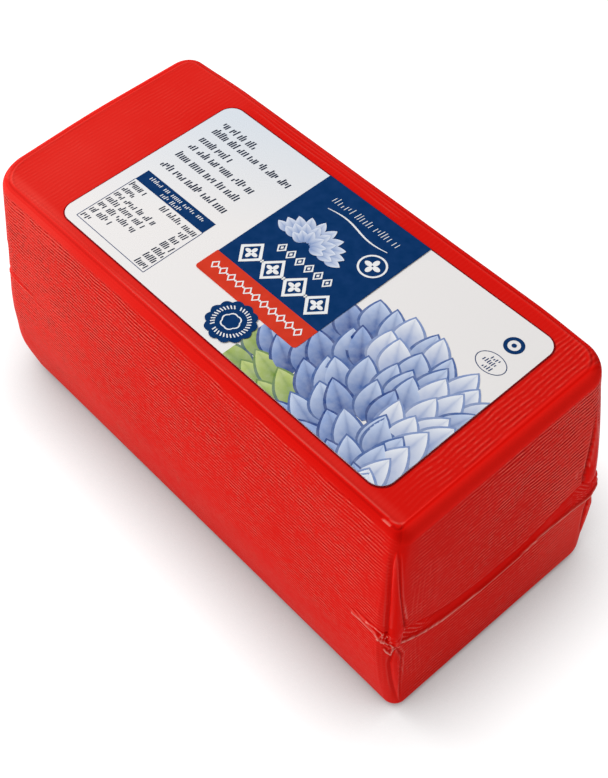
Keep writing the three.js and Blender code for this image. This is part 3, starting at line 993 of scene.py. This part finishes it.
def add_box(sheet, left, right, foot, top):
    return add_square(sheet, (left + right) / 2, (top + foot) / 2, right - left, top - foot)


def add_disc(sheet, x, y, width, height, segments, turn=0.0):
    made = bmesh.ops.create_circle(sheet, cap_ends=True, segments=segments, radius=0.5,
                                   matrix=placed(x, y, width, height, turn))
    return made["verts"]


def add_ring(sheet, x, y, width, height, line, segments=48):
    """A ring of a given line width, bridged between two circles."""
    edges = []
    for inset in (0, 2 * line):
        matrix = placed(x, y, width - inset, height - inset)
        made = bmesh.ops.create_circle(sheet, segments=segments, radius=0.5, matrix=matrix)
        edges += {edge for vertex in made["verts"] for edge in vertex.link_edges}
    bmesh.ops.bridge_loops(sheet, edges=edges)


def round_corners(sheet, corners, radius):
    bmesh.ops.bevel(sheet, geom=corners, offset=radius, affect="VERTICES", segments=6, profile=0.5,
                    material=-1)


def printed_piece(name, sheet, level, ink):
    """Thickens flat shapes, puts them on the label at a level above it, and makes them a piece."""
    made = bmesh.ops.extrude_face_region(sheet, geom=sheet.faces[:])
    raised = [item for item in made["geom"] if isinstance(item, bmesh.types.BMVert)]
    bmesh.ops.translate(sheet, verts=raised, vec=(0, 0, INK_HEIGHT))
    bmesh.ops.recalc_face_normals(sheet, faces=sheet.faces[:])
    return placed_piece(name, sheet, level, ink)


def placed_piece(name, sheet, level, ink):
    bmesh.ops.translate(sheet, verts=sheet.verts[:], vec=(0, 0, LABEL_TOP + level))
    bmesh.ops.transform(sheet, verts=sheet.verts[:], matrix=Matrix.Scale(MM, 4) @ on_label)
    mesh = mesh_of(name, sheet)
    mesh.materials.append(ink)
    piece = in_scene(name, mesh)
    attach(piece, "root")
    print(name, "faces", len(mesh.polygons))
    return piece


# %% [markdown]
# ## The painted shadow round the label
# A thin painted shadow runs all round the label's edge, where the label shades the film. Shading it with a
# groove in the film would need many more faces there. So a flat ring of dark film, a painted shadow, lies
# half under the label and half beside it.

# %% The painted shadow round the label
SHADOW_LINE_WIDTH = 0.45
# The ring's dark red is a painted shadow, broken up a little by noise.
SHADOW_LINE_RED = (0.16, 0.004, 0.006)
SHADOW_LINE_LIGHTER, SHADOW_LINE_WAVES, SHADOW_LINE_ROUGHNESS = 1.6, 300, (0.4, 0.5)
SHADOW_LINE_LEVEL = 0.16
LABEL_CORNER = 6


def painted_label_shadow():
    material, tree, shader = new_material("label_shadow_film")
    cloud = noise_node(tree, SHADOW_LINE_WAVES)
    lighter = tuple(SHADOW_LINE_LIGHTER * channel for channel in SHADOW_LINE_RED)
    fill_shader(tree, shader, {"Base Color": mix_colour(tree, cloud, SHADOW_LINE_RED, lighter),
                               "Roughness": map_node(tree, cloud, *SHADOW_LINE_ROUGHNESS),
                               "Specular IOR Level": FILM_SPECULAR})
    sheet = bmesh.new()
    length, width = LAYOUT_LENGTH + 2 * SHADOW_LINE_WIDTH, LAYOUT_WIDTH + 2 * SHADOW_LINE_WIDTH
    round_corners(sheet, add_square(sheet, 0, 0, length, width), LABEL_CORNER + SHADOW_LINE_WIDTH)
    bmesh.ops.inset_region(sheet, faces=sheet.faces[:], thickness=2 * SHADOW_LINE_WIDTH, use_boundary=True,
                           use_even_offset=True)
    middle = max(sheet.faces, key=lambda face: face.calc_area())
    bmesh.ops.delete(sheet, geom=[middle], context="FACES")
    made = printed_piece("label_shadow_line", sheet, label_low.z - LABEL_TOP + SHADOW_LINE_LEVEL, material)


painted_label_shadow()

# %% [markdown]
# ## The inks
# Four plain inks print the whole label but its foliage. A printer lays ink a little unevenly, so each ink
# wanders slightly between a thinner and a thicker colour, with a faint change of gloss.

# %% Inks
NAVY = (0.002, 0.034, 0.135)
SLATE = (0.006, 0.016, 0.045)
WHITE = (0.86, 0.865, 0.87)
ORANGE_RED = (0.66, 0.042, 0.018)
INK_SPECULAR, INK_ROUGHNESS = 0.02, (0.36, 0.46)
INK_WAVES, INK_BUMP, INK_BUMP_STRENGTH = 260, 0.004, 0.4
PAPER_SHINING_THROUGH = 0.004


def ink(name, colour, spread=0.08):
    """Printing ink: one colour, laid a little thinner and thicker over the paper."""
    material, tree, shader = new_material(name)
    laid = noise_node(tree, INK_WAVES)
    thin = tuple(min(1.0, channel * (1 + spread) + PAPER_SHINING_THROUGH) for channel in colour)
    thick = tuple(channel * (1 - spread) for channel in colour)
    fill_shader(tree, shader, {"Base Color": mix_colour(tree, map_node(tree, laid, 0, 1), thick, thin),
                               "Roughness": map_node(tree, laid, *INK_ROUGHNESS),
                               "Specular IOR Level": INK_SPECULAR,
                               "Normal": bump_node(tree, laid, INK_BUMP * MM, INK_BUMP_STRENGTH)})
    return material


navy_ink = ink("navy_ink", NAVY)
slate_ink = ink("slate_ink", SLATE, 0.15)
white_ink = ink("white_ink", WHITE, 0.03)
red_ink = ink("orange_red_ink", ORANGE_RED, 0.05)

# %% [markdown]
# ## Small print and the table
# The left part of the label carries lines of small print and a table. They are greeked, as a printer's
# dummy is: each word is a group of separate slanted strokes of a few heights, with no letters. A seeded
# random generator sets the length of the words, so each run gives the same dummy.

# %% Rows of strokes
STROKE_PITCH = 1.22
STROKE_WIDTH = 0.66
STROKE_SLANT = 0.12
STROKE_SHARES = (0.45, 0.74, 0.74, 0.8, 1)
STROKES_IN_WORD = (3, 8)
SHORT_STROKE, SHORT_STROKE_RISE = 0.5, 0.3
PITCH_RANGE = (0.85, 1.15)
WORD_GAP = 1.2
ON_PAPER = 0.04
lot = np.random.default_rng(11)


def add_words(sheet, left, right, middle, height, pitch=STROKE_PITCH, width=STROKE_WIDTH):
    """A row of slanted strokes from left to right, in groups with gaps between them."""
    x = left
    while x < right:
        for _ in range(int(lot.integers(*STROKES_IN_WORD))):
            if x > right:
                return
            share = lot.choice(STROKE_SHARES)
            rise = SHORT_STROKE_RISE * height * lot.integers(0, 2) if share < SHORT_STROKE else 0
            foot = middle - height / 2 + rise
            add_square(sheet, x, foot + share * height / 2, width, share * height, slant=STROKE_SLANT)
            x += pitch * lot.uniform(*PITCH_RANGE)
        x += WORD_GAP


# %% The lines of small print
PRINT_LEFT = -80.3
PRINT_HEIGHT = 3.7
PRINT_LINES = [  # middle, right end
    (34.1, -61.4), (28.9, -36), (22, -62.4), (16.4, -43.8), (9.7, -43.5), (1.9, -41.8)]

small_print = bmesh.new()
for middle, line_end in PRINT_LINES:
    add_words(small_print, PRINT_LEFT, line_end, middle, PRINT_HEIGHT)

# %% The table
TABLE_LEFT, TABLE_RIGHT = -81, -40.3
TABLE_TOP, TABLE_HEAD, TABLE_FOOT = -5.3, -12, -40.9
RULE = 0.28
TABLE_ROWS = [  # middle, width of the words on the left, width of the value on the right
    (-14.6, 9, 20), (-18.4, 8, 5), (-22.2, 23, 5), (-26.2, 22, 5.5), (-30.2, 21, 5.5), (-34.3, 11, 5.5),
    (-38.4, 4, 5.5)]
TABLE_ROW_START, TABLE_ROW_END = TABLE_LEFT + 1.2, TABLE_RIGHT - 1
TABLE_PRINT_HEIGHT, TABLE_PITCH, TABLE_STROKE = 3, 1.05, 0.52
HEAD_ROWS = [(-7.3, 16), (-10.2, 6)]  # middle, half width
HEAD_PRINT_HEIGHT, HEAD_STROKE = 2, 0.4
ON_TABLE_HEAD = 0.09

table = bmesh.new()
table_middle = (TABLE_LEFT + TABLE_RIGHT) / 2
add_box(table, TABLE_LEFT, TABLE_RIGHT, TABLE_HEAD, TABLE_TOP)
add_square(table, table_middle, TABLE_FOOT, TABLE_RIGHT - TABLE_LEFT, RULE)
for side in (TABLE_LEFT, TABLE_RIGHT):
    add_square(table, side, (TABLE_HEAD + TABLE_FOOT) / 2, RULE, TABLE_HEAD - TABLE_FOOT)
printed_piece("label_table", table, ON_PAPER, navy_ink)
for middle, words, value in TABLE_ROWS:
    for left, right in ((TABLE_ROW_START, TABLE_ROW_START + words), (TABLE_ROW_END - value, TABLE_ROW_END)):
        add_words(small_print, left, right, middle, TABLE_PRINT_HEIGHT, TABLE_PITCH, TABLE_STROKE)
printed_piece("label_small_print", small_print, ON_PAPER, slate_ink)

head_print = bmesh.new()
for middle, half in HEAD_ROWS:
    left, right = table_middle - half, table_middle + half
    add_words(head_print, left, right, middle, HEAD_PRINT_HEIGHT, TABLE_PITCH, HEAD_STROKE)
printed_piece("label_table_head_print", head_print, ON_TABLE_HEAD, white_ink)

# %% [markdown]
# ## The navy panel and the banner
# A tall navy panel stands over an orange-red banner with rounded lower corners. The panel reaches the
# label's far edge. On them lies plain white ornament: rows of lozenges, as on old tiles.

# %% Panel and banner
PANEL_LEFT, PANEL_RIGHT = -29.4, 24.8
PANEL_TOP, PANEL_FOOT = 44.8, -13.5
BANNER_LEFT, BANNER_RIGHT = -29.7, 24.9
BANNER_FOOT = -24.9
BANNER_CORNER = 1.5
PANEL_LEVEL = 0.3
ON_PANEL = 0.35

panel = bmesh.new()
add_box(panel, PANEL_LEFT, PANEL_RIGHT, PANEL_FOOT, PANEL_TOP)
printed_piece("label_panel", panel, PANEL_LEVEL, navy_ink)

banner = bmesh.new()
corners = add_box(banner, BANNER_LEFT, BANNER_RIGHT, BANNER_FOOT, PANEL_FOOT)
round_corners(banner, [corner for corner in corners if corner.co.y < PANEL_FOOT - 1], BANNER_CORNER)
printed_piece("label_banner", banner, PANEL_LEVEL, red_ink)

# %% White ornament on the panel and the banner


def add_lozenge(sheet, x, y, width, height, line):
    """An outlined lozenge: a ring of four sides."""
    add_ring(sheet, x, y, width, height, line, segments=4)


def add_quatrefoil(sheet, x, y, size):
    """Four leaves round a point."""
    for quarter in range(4):
        turn = quarter * math.pi / 2
        offset = Vector((math.cos(turn), math.sin(turn))) * size * 0.27
        add_disc(sheet, x + offset.x, y + offset.y, size * 0.46, size * 0.3, 16, turn)


def evenly(low, high, count):
    step = (high - low) / count
    return [low + step * (place + 0.5) for place in range(count)]


# Each row: from, to and how many. Each lozenge: width, height and line.
LARGE_ROW, LARGE_ROW_Y, LARGE_LOZENGE = (-25.8, 21.4, 4), -5.3, (11.4, 13.2, 1.7)
SMALL_ROW, SMALL_ROW_Y, SMALL_LOZENGE = (-16.3, 12.9, 6), 4.8, (4.3, 5.6, 0.85)
BANNER_ROW, BANNER_ROW_Y, BANNER_LOZENGE = (-26.9, 22.4, 11), -18.9, (3.7, 4.6, 0.75)
LARGE_DOT_AWAY, BANNER_DOT_AWAY = 5.9, 2.24
ROUND_MARK_X, ROUND_MARK_Y, ROUND_MARK_SIZE, ROUND_MARK_LINE = 16, 22.7, 11.6, 0.8

ornament = bmesh.new()
for x in evenly(*LARGE_ROW):
    add_lozenge(ornament, x, LARGE_ROW_Y, *LARGE_LOZENGE)
    add_quatrefoil(ornament, x, LARGE_ROW_Y, 6)
for x in evenly(*LARGE_ROW)[:-1]:
    add_disc(ornament, x + LARGE_DOT_AWAY, LARGE_ROW_Y, 1.8, 1.8, 4)
for x in evenly(*SMALL_ROW):
    add_lozenge(ornament, x, SMALL_ROW_Y, *SMALL_LOZENGE)
    add_disc(ornament, x, SMALL_ROW_Y, 1.3, 1.7, 4)
for x in evenly(*BANNER_ROW):
    add_lozenge(ornament, x, BANNER_ROW_Y, *BANNER_LOZENGE)
for x in evenly(*BANNER_ROW)[:-1]:
    add_disc(ornament, x + BANNER_DOT_AWAY, BANNER_ROW_Y, 0.9, 0.9, 12)
add_ring(ornament, ROUND_MARK_X, ROUND_MARK_Y, ROUND_MARK_SIZE, ROUND_MARK_SIZE, ROUND_MARK_LINE)
add_quatrefoil(ornament, ROUND_MARK_X, ROUND_MARK_Y, 7.4)
printed_piece("label_ornament", ornament, ON_PANEL, white_ink)

# %% Thin swash and slanted row at the panel's head
SWASH_LEFT, SWASH_Y, SWASH_LENGTH, SWASH_RISE = -17, 31.6, 32, 1.1
SWASH_STEPS, SWASH_OVERLAP = 40, 1.05
SWASH_LINE, SWASH_SWELL = 0.28, 0.5
HEAD_LEFT, HEAD_RIGHT, HEAD_Y, HEAD_HEIGHT, HEAD_PITCH, HEAD_LINE = -18.5, 15.5, 37, 3.4, 1.5, 0.3

swash = bmesh.new()
add_words(swash, HEAD_LEFT, HEAD_RIGHT, HEAD_Y, HEAD_HEIGHT, HEAD_PITCH, HEAD_LINE)
for step in range(SWASH_STEPS):
    share = step / SWASH_STEPS
    x = SWASH_LEFT + SWASH_LENGTH * (share + 0.5 / SWASH_STEPS)
    rise = SWASH_RISE * math.sin(2 * math.pi * share)
    slope = SWASH_RISE * 2 * math.pi * math.cos(2 * math.pi * share) / SWASH_LENGTH
    line = SWASH_LINE + SWASH_SWELL * math.sin(math.pi * share)
    length = SWASH_OVERLAP * SWASH_LENGTH / SWASH_STEPS
    add_square(swash, x, SWASH_Y + rise, length, line, math.atan(slope))
printed_piece("label_swash", swash, ON_PANEL, white_ink)

# %% [markdown]
# ## The rosette and the marks
# Below the banner sits a navy rosette with a scalloped rim, and at the label's right end a round mark and an
# oval one. Their rings are two circles bridged together, and the scallops are a circle whose points were
# moved in and out.

# %% Rosette and marks
ROSETTE_X, ROSETTE_Y, ROSETTE_RADIUS = 0.2, -33, 9.9
ROSETTE_LOBES, ROSETTE_SCALLOP = 12, 0.1
STROKES_ROUND, STROKES_BEFORE_GAP = 34, 11
STROKE_RING, STROKE_LENGTH, STROKE_LINE, STROKE_LEAN = 6.7, 1.7, 0.5, 0.25
RING_SIZE, RING_LINE, RING_POINTS, RING_LOBES, RING_SCALLOP = 8, 0.55, 96, 6, 0.12
ROSETTE_LEVEL, ON_ROSETTE = 0.4, 0.45


def scallop(points, x, y, lobes, depth):
    """Pushes the points of a circle in between its lobes."""
    for point in points:
        out = point.co - Vector((x, y, 0))
        angle = math.atan2(out.y, out.x)
        point.co = Vector((x, y, 0)) + out * (1 - depth * (1 - abs(math.cos(angle * lobes / 2))))


rosette = bmesh.new()
rim = add_disc(rosette, ROSETTE_X, ROSETTE_Y, 2 * ROSETTE_RADIUS, 2 * ROSETTE_RADIUS, 144)
scallop(rim, ROSETTE_X, ROSETTE_Y, ROSETTE_LOBES, ROSETTE_SCALLOP)
printed_piece("label_rosette", rosette, ROSETTE_LEVEL, navy_ink)

rosette_print = bmesh.new()
for step in range(STROKES_ROUND):
    turn = 2 * math.pi * step / STROKES_ROUND
    if step % (STROKES_BEFORE_GAP + 1) == STROKES_BEFORE_GAP:
        continue
    out = Vector((math.cos(turn), math.sin(turn))) * STROKE_RING
    x, y = ROSETTE_X + out.x, ROSETTE_Y + out.y
    add_square(rosette_print, x, y, STROKE_LENGTH, STROKE_LINE, turn + STROKE_LEAN)
add_ring(rosette_print, ROSETTE_X, ROSETTE_Y, RING_SIZE, RING_SIZE, RING_LINE, RING_POINTS)
scallop(rosette_print.verts[-2 * RING_POINTS:], ROSETTE_X, ROSETTE_Y, RING_LOBES, RING_SCALLOP)
printed_piece("label_rosette_print", rosette_print, ON_ROSETTE, white_ink)

# %% Marks at the right end
MARK_X, MARK_Y, MARK_SIZE, MARK_LINE, MARK_DOT = 76.5, 32.7, 7.8, 1.5, 1.9
OVAL_X, OVAL_Y, OVAL_WIDTH, OVAL_HEIGHT, OVAL_LINE = 76.1, 21, 12.6, 9.2, 0.3
OVAL_ROWS = [(74.8, 78, 23.4), (73, 79.4, 21), (74.8, 78, 18.6)]  # left, right, middle
OVAL_PRINT_HEIGHT, OVAL_PITCH, OVAL_STROKE = 1.9, 1, 0.4

marks = bmesh.new()
add_ring(marks, MARK_X, MARK_Y, MARK_SIZE, MARK_SIZE, MARK_LINE)
add_disc(marks, MARK_X, MARK_Y, MARK_DOT, MARK_DOT, 24)
add_ring(marks, OVAL_X, OVAL_Y, OVAL_WIDTH, OVAL_HEIGHT, OVAL_LINE, 64)
for left, right, middle in OVAL_ROWS:
    add_words(marks, left, right, middle, OVAL_PRINT_HEIGHT, OVAL_PITCH, OVAL_STROKE)
printed_piece("label_marks", marks, ON_PAPER, navy_ink)

# %% [markdown]
# ## The foliage print
# The right part of the label is filled by a fan of overlapping pointed leaves, pale blue to mid blue, with a
# few green ones at its side. One leaf is a small grid drawn in to a point at both ends. The fan is a loop
# over rings and places on each ring. Each leaf lies a hair higher at its tip than the next ring's base, as
# tiles on a roof do, over a slightly larger dark leaf that shows as its outline. The leaves' colours are
# kept in a colour attribute.

# %% One leaf
LEAF_COLUMNS, LEAF_ROWS = 10, 8
LEAF_THICKNESS = 0.02
LEAF_LIFT, LEAF_TILT = 0.12, 0.03
VEIN_WIDTH, SIDE_VEINS, VEINS_DEEPER = 0.14, 0.35, 0.15


def leaf_half_width(share):
    """Half width along a leaf of length 1: round near the base and pointed at the tip."""
    return 0.5 * math.sin(math.pi * share**0.8) ** 0.85 if 0 < share < 1 else 0.0


def add_leaf(sheet, tint, base, turn, length, width, level, colours):
    """One leaf from its base outwards, with its colours from base to edge."""
    deep, pale = colours
    made = bmesh.ops.create_grid(sheet, x_segments=LEAF_COLUMNS, y_segments=LEAF_ROWS, size=0.5)
    aim = Matrix.Translation((*base, level)) @ Matrix.Rotation(turn, 4, "Z")
    for vertex in made["verts"]:
        share, side = vertex.co.x + 0.5, 2 * vertex.co.y
        half = max(leaf_half_width(share), 0.004)
        side_vein = bump(math.sin(9 * share - 3 * abs(side)), 0.35)
        vein = bump(abs(side), VEIN_WIDTH) + SIDE_VEINS * side_vein
        paleness = float(np.clip(1.1 * share + 0.3 * abs(side) - 0.2 - VEINS_DEEPER * vein, 0, 1))
        vertex[tint] = (*deep.lerp(pale, paleness), 1)
        lift = LEAF_LIFT * share + LEAF_TILT * side
        vertex.co = aim @ Vector((share * length, side * half * width, lift))


# %% The fan of leaves
FAN_CENTRE = Vector((82, -52))
FAN_RINGS = 7
GAP_BLUE = Vector((0.02, 0.06, 0.22))
DEEP_BLUES = [Vector((0.02, 0.06, 0.25)), Vector((0.06, 0.13, 0.37)), Vector((0.20, 0.29, 0.56))]
PALE_BLUES = [Vector((0.34, 0.46, 0.76)), Vector((0.56, 0.66, 0.87)), Vector((0.84, 0.87, 0.93))]
GAP_LIGHTENING = (0, 0.12, 0.32)
GAP_WIDENING, GAP_LENGTHENING = 2.1, 0.9
DEEP_GREEN, PALE_GREEN = Vector((0.16, 0.27, 0.05)), Vector((0.52, 0.62, 0.20))
FAN_START, FAN_SPREAD = math.radians(84), math.radians(104)
GREEN_FROM, GREEN_RINGS = math.radians(160), 3
LEAVES_PER_RING = 2.6
RING_LIFT, GAP_DROP = 0.03, 0.015
LEAF_LENGTHS, LEAF_WIDTHS, LEAF_LEANS = (17, 21), (9, 12), (-0.2, 0.2)
PLACE_SPREAD, REACH_SPREAD, TONE_SPREAD = (-0.15, 0.15), (0.97, 1.02), (-0.8, 0.8)


def fan_reach(turn):
    """How far the fan reaches from its centre in a direction."""
    return 62 + 20 * ease(turn, math.radians(85), math.radians(130)) - 4 * ease(turn, 2.7, 3.2)


def fan_leaves(sheet, tint):
    draw = np.random.default_rng(5)
    for ring in range(FAN_RINGS):
        share = 1 - ring / FAN_RINGS
        count = max(3, round(FAN_RINGS * share * LEAVES_PER_RING))
        for place in range(count):
            round_ring = place + 0.5 * (ring % 2) + draw.uniform(*PLACE_SPREAD)
            turn = FAN_START + FAN_SPREAD * round_ring / count
            reach = float(fan_reach(turn)) * share * draw.uniform(*REACH_SPREAD)
            length = draw.uniform(*LEAF_LENGTHS)
            base = FAN_CENTRE + Vector((math.cos(turn), math.sin(turn))) * (reach - length)
            green = turn > GREEN_FROM and ring < GREEN_RINGS
            paler = ease(turn, math.radians(190), math.radians(80))
            tone = int(np.clip(round(2.6 * paler - 0.6 + draw.uniform(*TONE_SPREAD)), 0, 2))
            colours = (DEEP_GREEN, PALE_GREEN) if green else (DEEP_BLUES[tone], PALE_BLUES[tone])
            leaned = turn + draw.uniform(*LEAF_LEANS)
            width = draw.uniform(*LEAF_WIDTHS)
            gap = (GAP_BLUE.lerp(colours[1], GAP_LIGHTENING[tone]), colours[0])
            level = RING_LIFT * ring
            add_leaf(sheet, tint, base, leaned, length + GAP_LENGTHENING, width + GAP_WIDENING,
                     level - GAP_DROP, gap)
            add_leaf(sheet, tint, base, leaned, length, width, level, colours)


foliage = bmesh.new()
tint_layer = foliage.verts.layers.float_color.new("tint")
fan_leaves(foliage, tint_layer)
print("foliage faces before trimming", len(foliage.faces))

# %% [markdown]
# The leaves that reach past the label's edge, or under the panel, are cut off with `bisect_plane`, as a
# guillotine would. The rounded corner takes a few cuts, one after another round its arc.

# %% Trim the foliage to the label
HALF_LENGTH, HALF_WIDTH = LAYOUT_LENGTH / 2, LAYOUT_WIDTH / 2
EDGE_CLEARANCE = 0.15
CORNER_CUTS = 7
FOLIAGE_LEFT = 9


def cut_off(sheet, point, outward):
    """Cuts a sheet with an upright plane and takes away what lies beyond it."""
    everything = sheet.verts[:] + sheet.edges[:] + sheet.faces[:]
    bmesh.ops.bisect_plane(sheet, geom=everything, plane_co=(*point, 0), plane_no=(*outward, 0),
                           clear_outer=True)


def trim_to_label(sheet):
    corner = Vector((HALF_LENGTH - LABEL_CORNER, LABEL_CORNER - HALF_WIDTH))
    for cut in range(CORNER_CUTS):
        turn = -math.pi / 2 * cut / (CORNER_CUTS - 1)
        outward = Vector((math.cos(turn), math.sin(turn)))
        cut_off(sheet, corner + outward * (LABEL_CORNER - EDGE_CLEARANCE), outward)


trim_to_label(foliage)
cut_off(foliage, Vector((FOLIAGE_LEFT, 0)), Vector((-1, 0)))

# %% Thicken and print the foliage
FOLIAGE_LEVEL = 0.06
FOLIAGE_WAVES = 320
THIN_INK = 0.14


def thicken(sheet):
    bmesh.ops.solidify(sheet, geom=sheet.faces[:], thickness=LEAF_THICKNESS)
    bmesh.ops.recalc_face_normals(sheet, faces=sheet.faces[:])


def leaf_ink():
    material, tree, shader = new_material("foliage_ink")
    laid = noise_node(tree, FOLIAGE_WAVES)
    tint = attribute_node(tree, "tint", "Color")
    thin = times(tree, map_node(tree, laid, 0, 1), THIN_INK)
    fill_shader(tree, shader, {"Base Color": mix_colour(tree, thin, tint, WHITE),
                               "Roughness": map_node(tree, laid, *INK_ROUGHNESS),
                               "Specular IOR Level": INK_SPECULAR})
    return material


thicken(foliage)
foliage_ink = leaf_ink()
placed_piece("label_foliage", foliage, FOLIAGE_LEVEL, foliage_ink)

# %% [markdown]
# ## The sprig on the panel
# The panel's picture is a small symmetrical sprig in pale blues, made of the same leaf.

# %% Sprig
SPRIG_PLACE = Vector((-8.6, 11.5))
SPRIG_STRETCH = 1.4
SPRIG_COLOURS = (Vector((0.20, 0.30, 0.56)), Vector((0.74, 0.79, 0.90)))
SPRIG_LAYERS = [(7.5, 10, 7.5, 4.4), (4.6, 8, 7, 4.2), (1.6, 6, 6.5, 4)]  # reach, leaves, length, width
SPRIG_LEVEL = 0.38

sprig = bmesh.new()
sprig_tint = sprig.verts.layers.float_color.new("tint")
for layer, (reach, count, length, width) in enumerate(SPRIG_LAYERS):
    for place in range(count):
        turn = math.pi * (place + 0.5) / count
        stretch = Vector((SPRIG_STRETCH * math.cos(turn), math.sin(turn)))
        aim = math.atan2(stretch.y, stretch.x)
        base = SPRIG_PLACE + stretch * reach * 0.9
        add_leaf(sprig, sprig_tint, base, aim, length, width, RING_LIFT * layer, SPRIG_COLOURS)
thicken(sprig)
placed_piece("label_sprig", sprig, SPRIG_LEVEL, foliage_ink)

# %% [markdown]
# ## Stage and light
# The block stands on a plain white floor in a bright white studio. The floor's glow is painted light that
# stands in for a lit sweep of white paper in such a picture. The glow is full in the open and falls off close
# to the block, where less of the sky is seen, and that paints the soft pale shadow at its foot. The light is
# a dome that is brightest above the near left and dim towards the right, which makes the end face darker than
# the top, and one soft lamp on the bright side gives the film its highlights.

# %% White floor
FLOOR_SIZE = 6
FLOOR_GREY, FLOOR_LIGHTER, FLOOR_CLOUDS = 0.3, 1.03, 3
FLOOR_ROUGHNESS = 0.9
GLOW_AT_FOOT, GLOW_IN_OPEN = -0.27, 0.92
CONTACT_REACH = 42


def white_floor():
    material, tree, shader = new_material("white_floor")
    cloud = noise_node(tree, FLOOR_CLOUDS, 2)
    greys = [(FLOOR_GREY * share,) * 3 for share in (1, FLOOR_LIGHTER)]
    open_sky = tree.nodes.new("ShaderNodeAmbientOcclusion")
    open_sky.inputs["Distance"].default_value = CONTACT_REACH * MM
    glow = times(tree, open_sky.outputs["AO"], GLOW_IN_OPEN - GLOW_AT_FOOT)
    fill_shader(tree, shader, {"Base Color": mix_colour(tree, cloud, *greys), "Roughness": FLOOR_ROUGHNESS,
                               "Specular IOR Level": 0, "Emission Color": (1, 1, 1),
                               "Emission Strength": math_node(tree, "ADD", glow, GLOW_AT_FOOT)})
    return material


floor_sheet = bmesh.new()
bmesh.ops.create_grid(floor_sheet, x_segments=1, y_segments=1, size=FLOOR_SIZE / 2)
floor_mesh = mesh_of("floor", floor_sheet)
floor_mesh.materials.append(white_floor())
floor = in_scene("floor", floor_mesh)

# %% Dome of light
DOME_AIM = Vector((-0.4, -0.35, 0.85)).normalized()
DOME_DIM = 0.12
DOME_BRIGHT, DOME_CURVE = 1.25, 2.0

world = bpy.data.worlds.new("studio")
world.use_nodes = True
sky = world.node_tree
direction = sky.nodes.new("ShaderNodeTexCoord")
towards = sky.nodes.new("ShaderNodeVectorMath")
towards.operation = "DOT_PRODUCT"
towards.inputs[1].default_value = DOME_AIM
link(sky, direction.outputs["Generated"], towards.inputs[0])
facing_aim = math_node(sky, "MAXIMUM", towards.outputs["Value"], 0.0)
lobe = times(sky, math_node(sky, "POWER", facing_aim, DOME_CURVE), DOME_BRIGHT)
link(sky, math_node(sky, "ADD", lobe, DOME_DIM), sky.nodes["Background"].inputs["Strength"])
sky.nodes["Background"].inputs["Color"].default_value = (1, 1, 1, 1)
bpy.context.scene.world = world

# %% Soft lamp
LAMP_PLACE = Vector((-0.7, -0.3, 0.8))
LAMP_SIZE = 0.5
LAMP_POWER = 5

lamp = in_scene("soft_lamp", bpy.data.lights.new("soft_lamp", "AREA"))
lamp.data.shape = "DISK"
lamp.data.size = LAMP_SIZE
lamp.data.energy = LAMP_POWER
lamp.matrix_world = Matrix.Translation(LAMP_PLACE) @ LAMP_PLACE.to_track_quat("Z", "Y").to_matrix().to_4x4()

bpy.context.scene.view_settings.view_transform = "Standard"
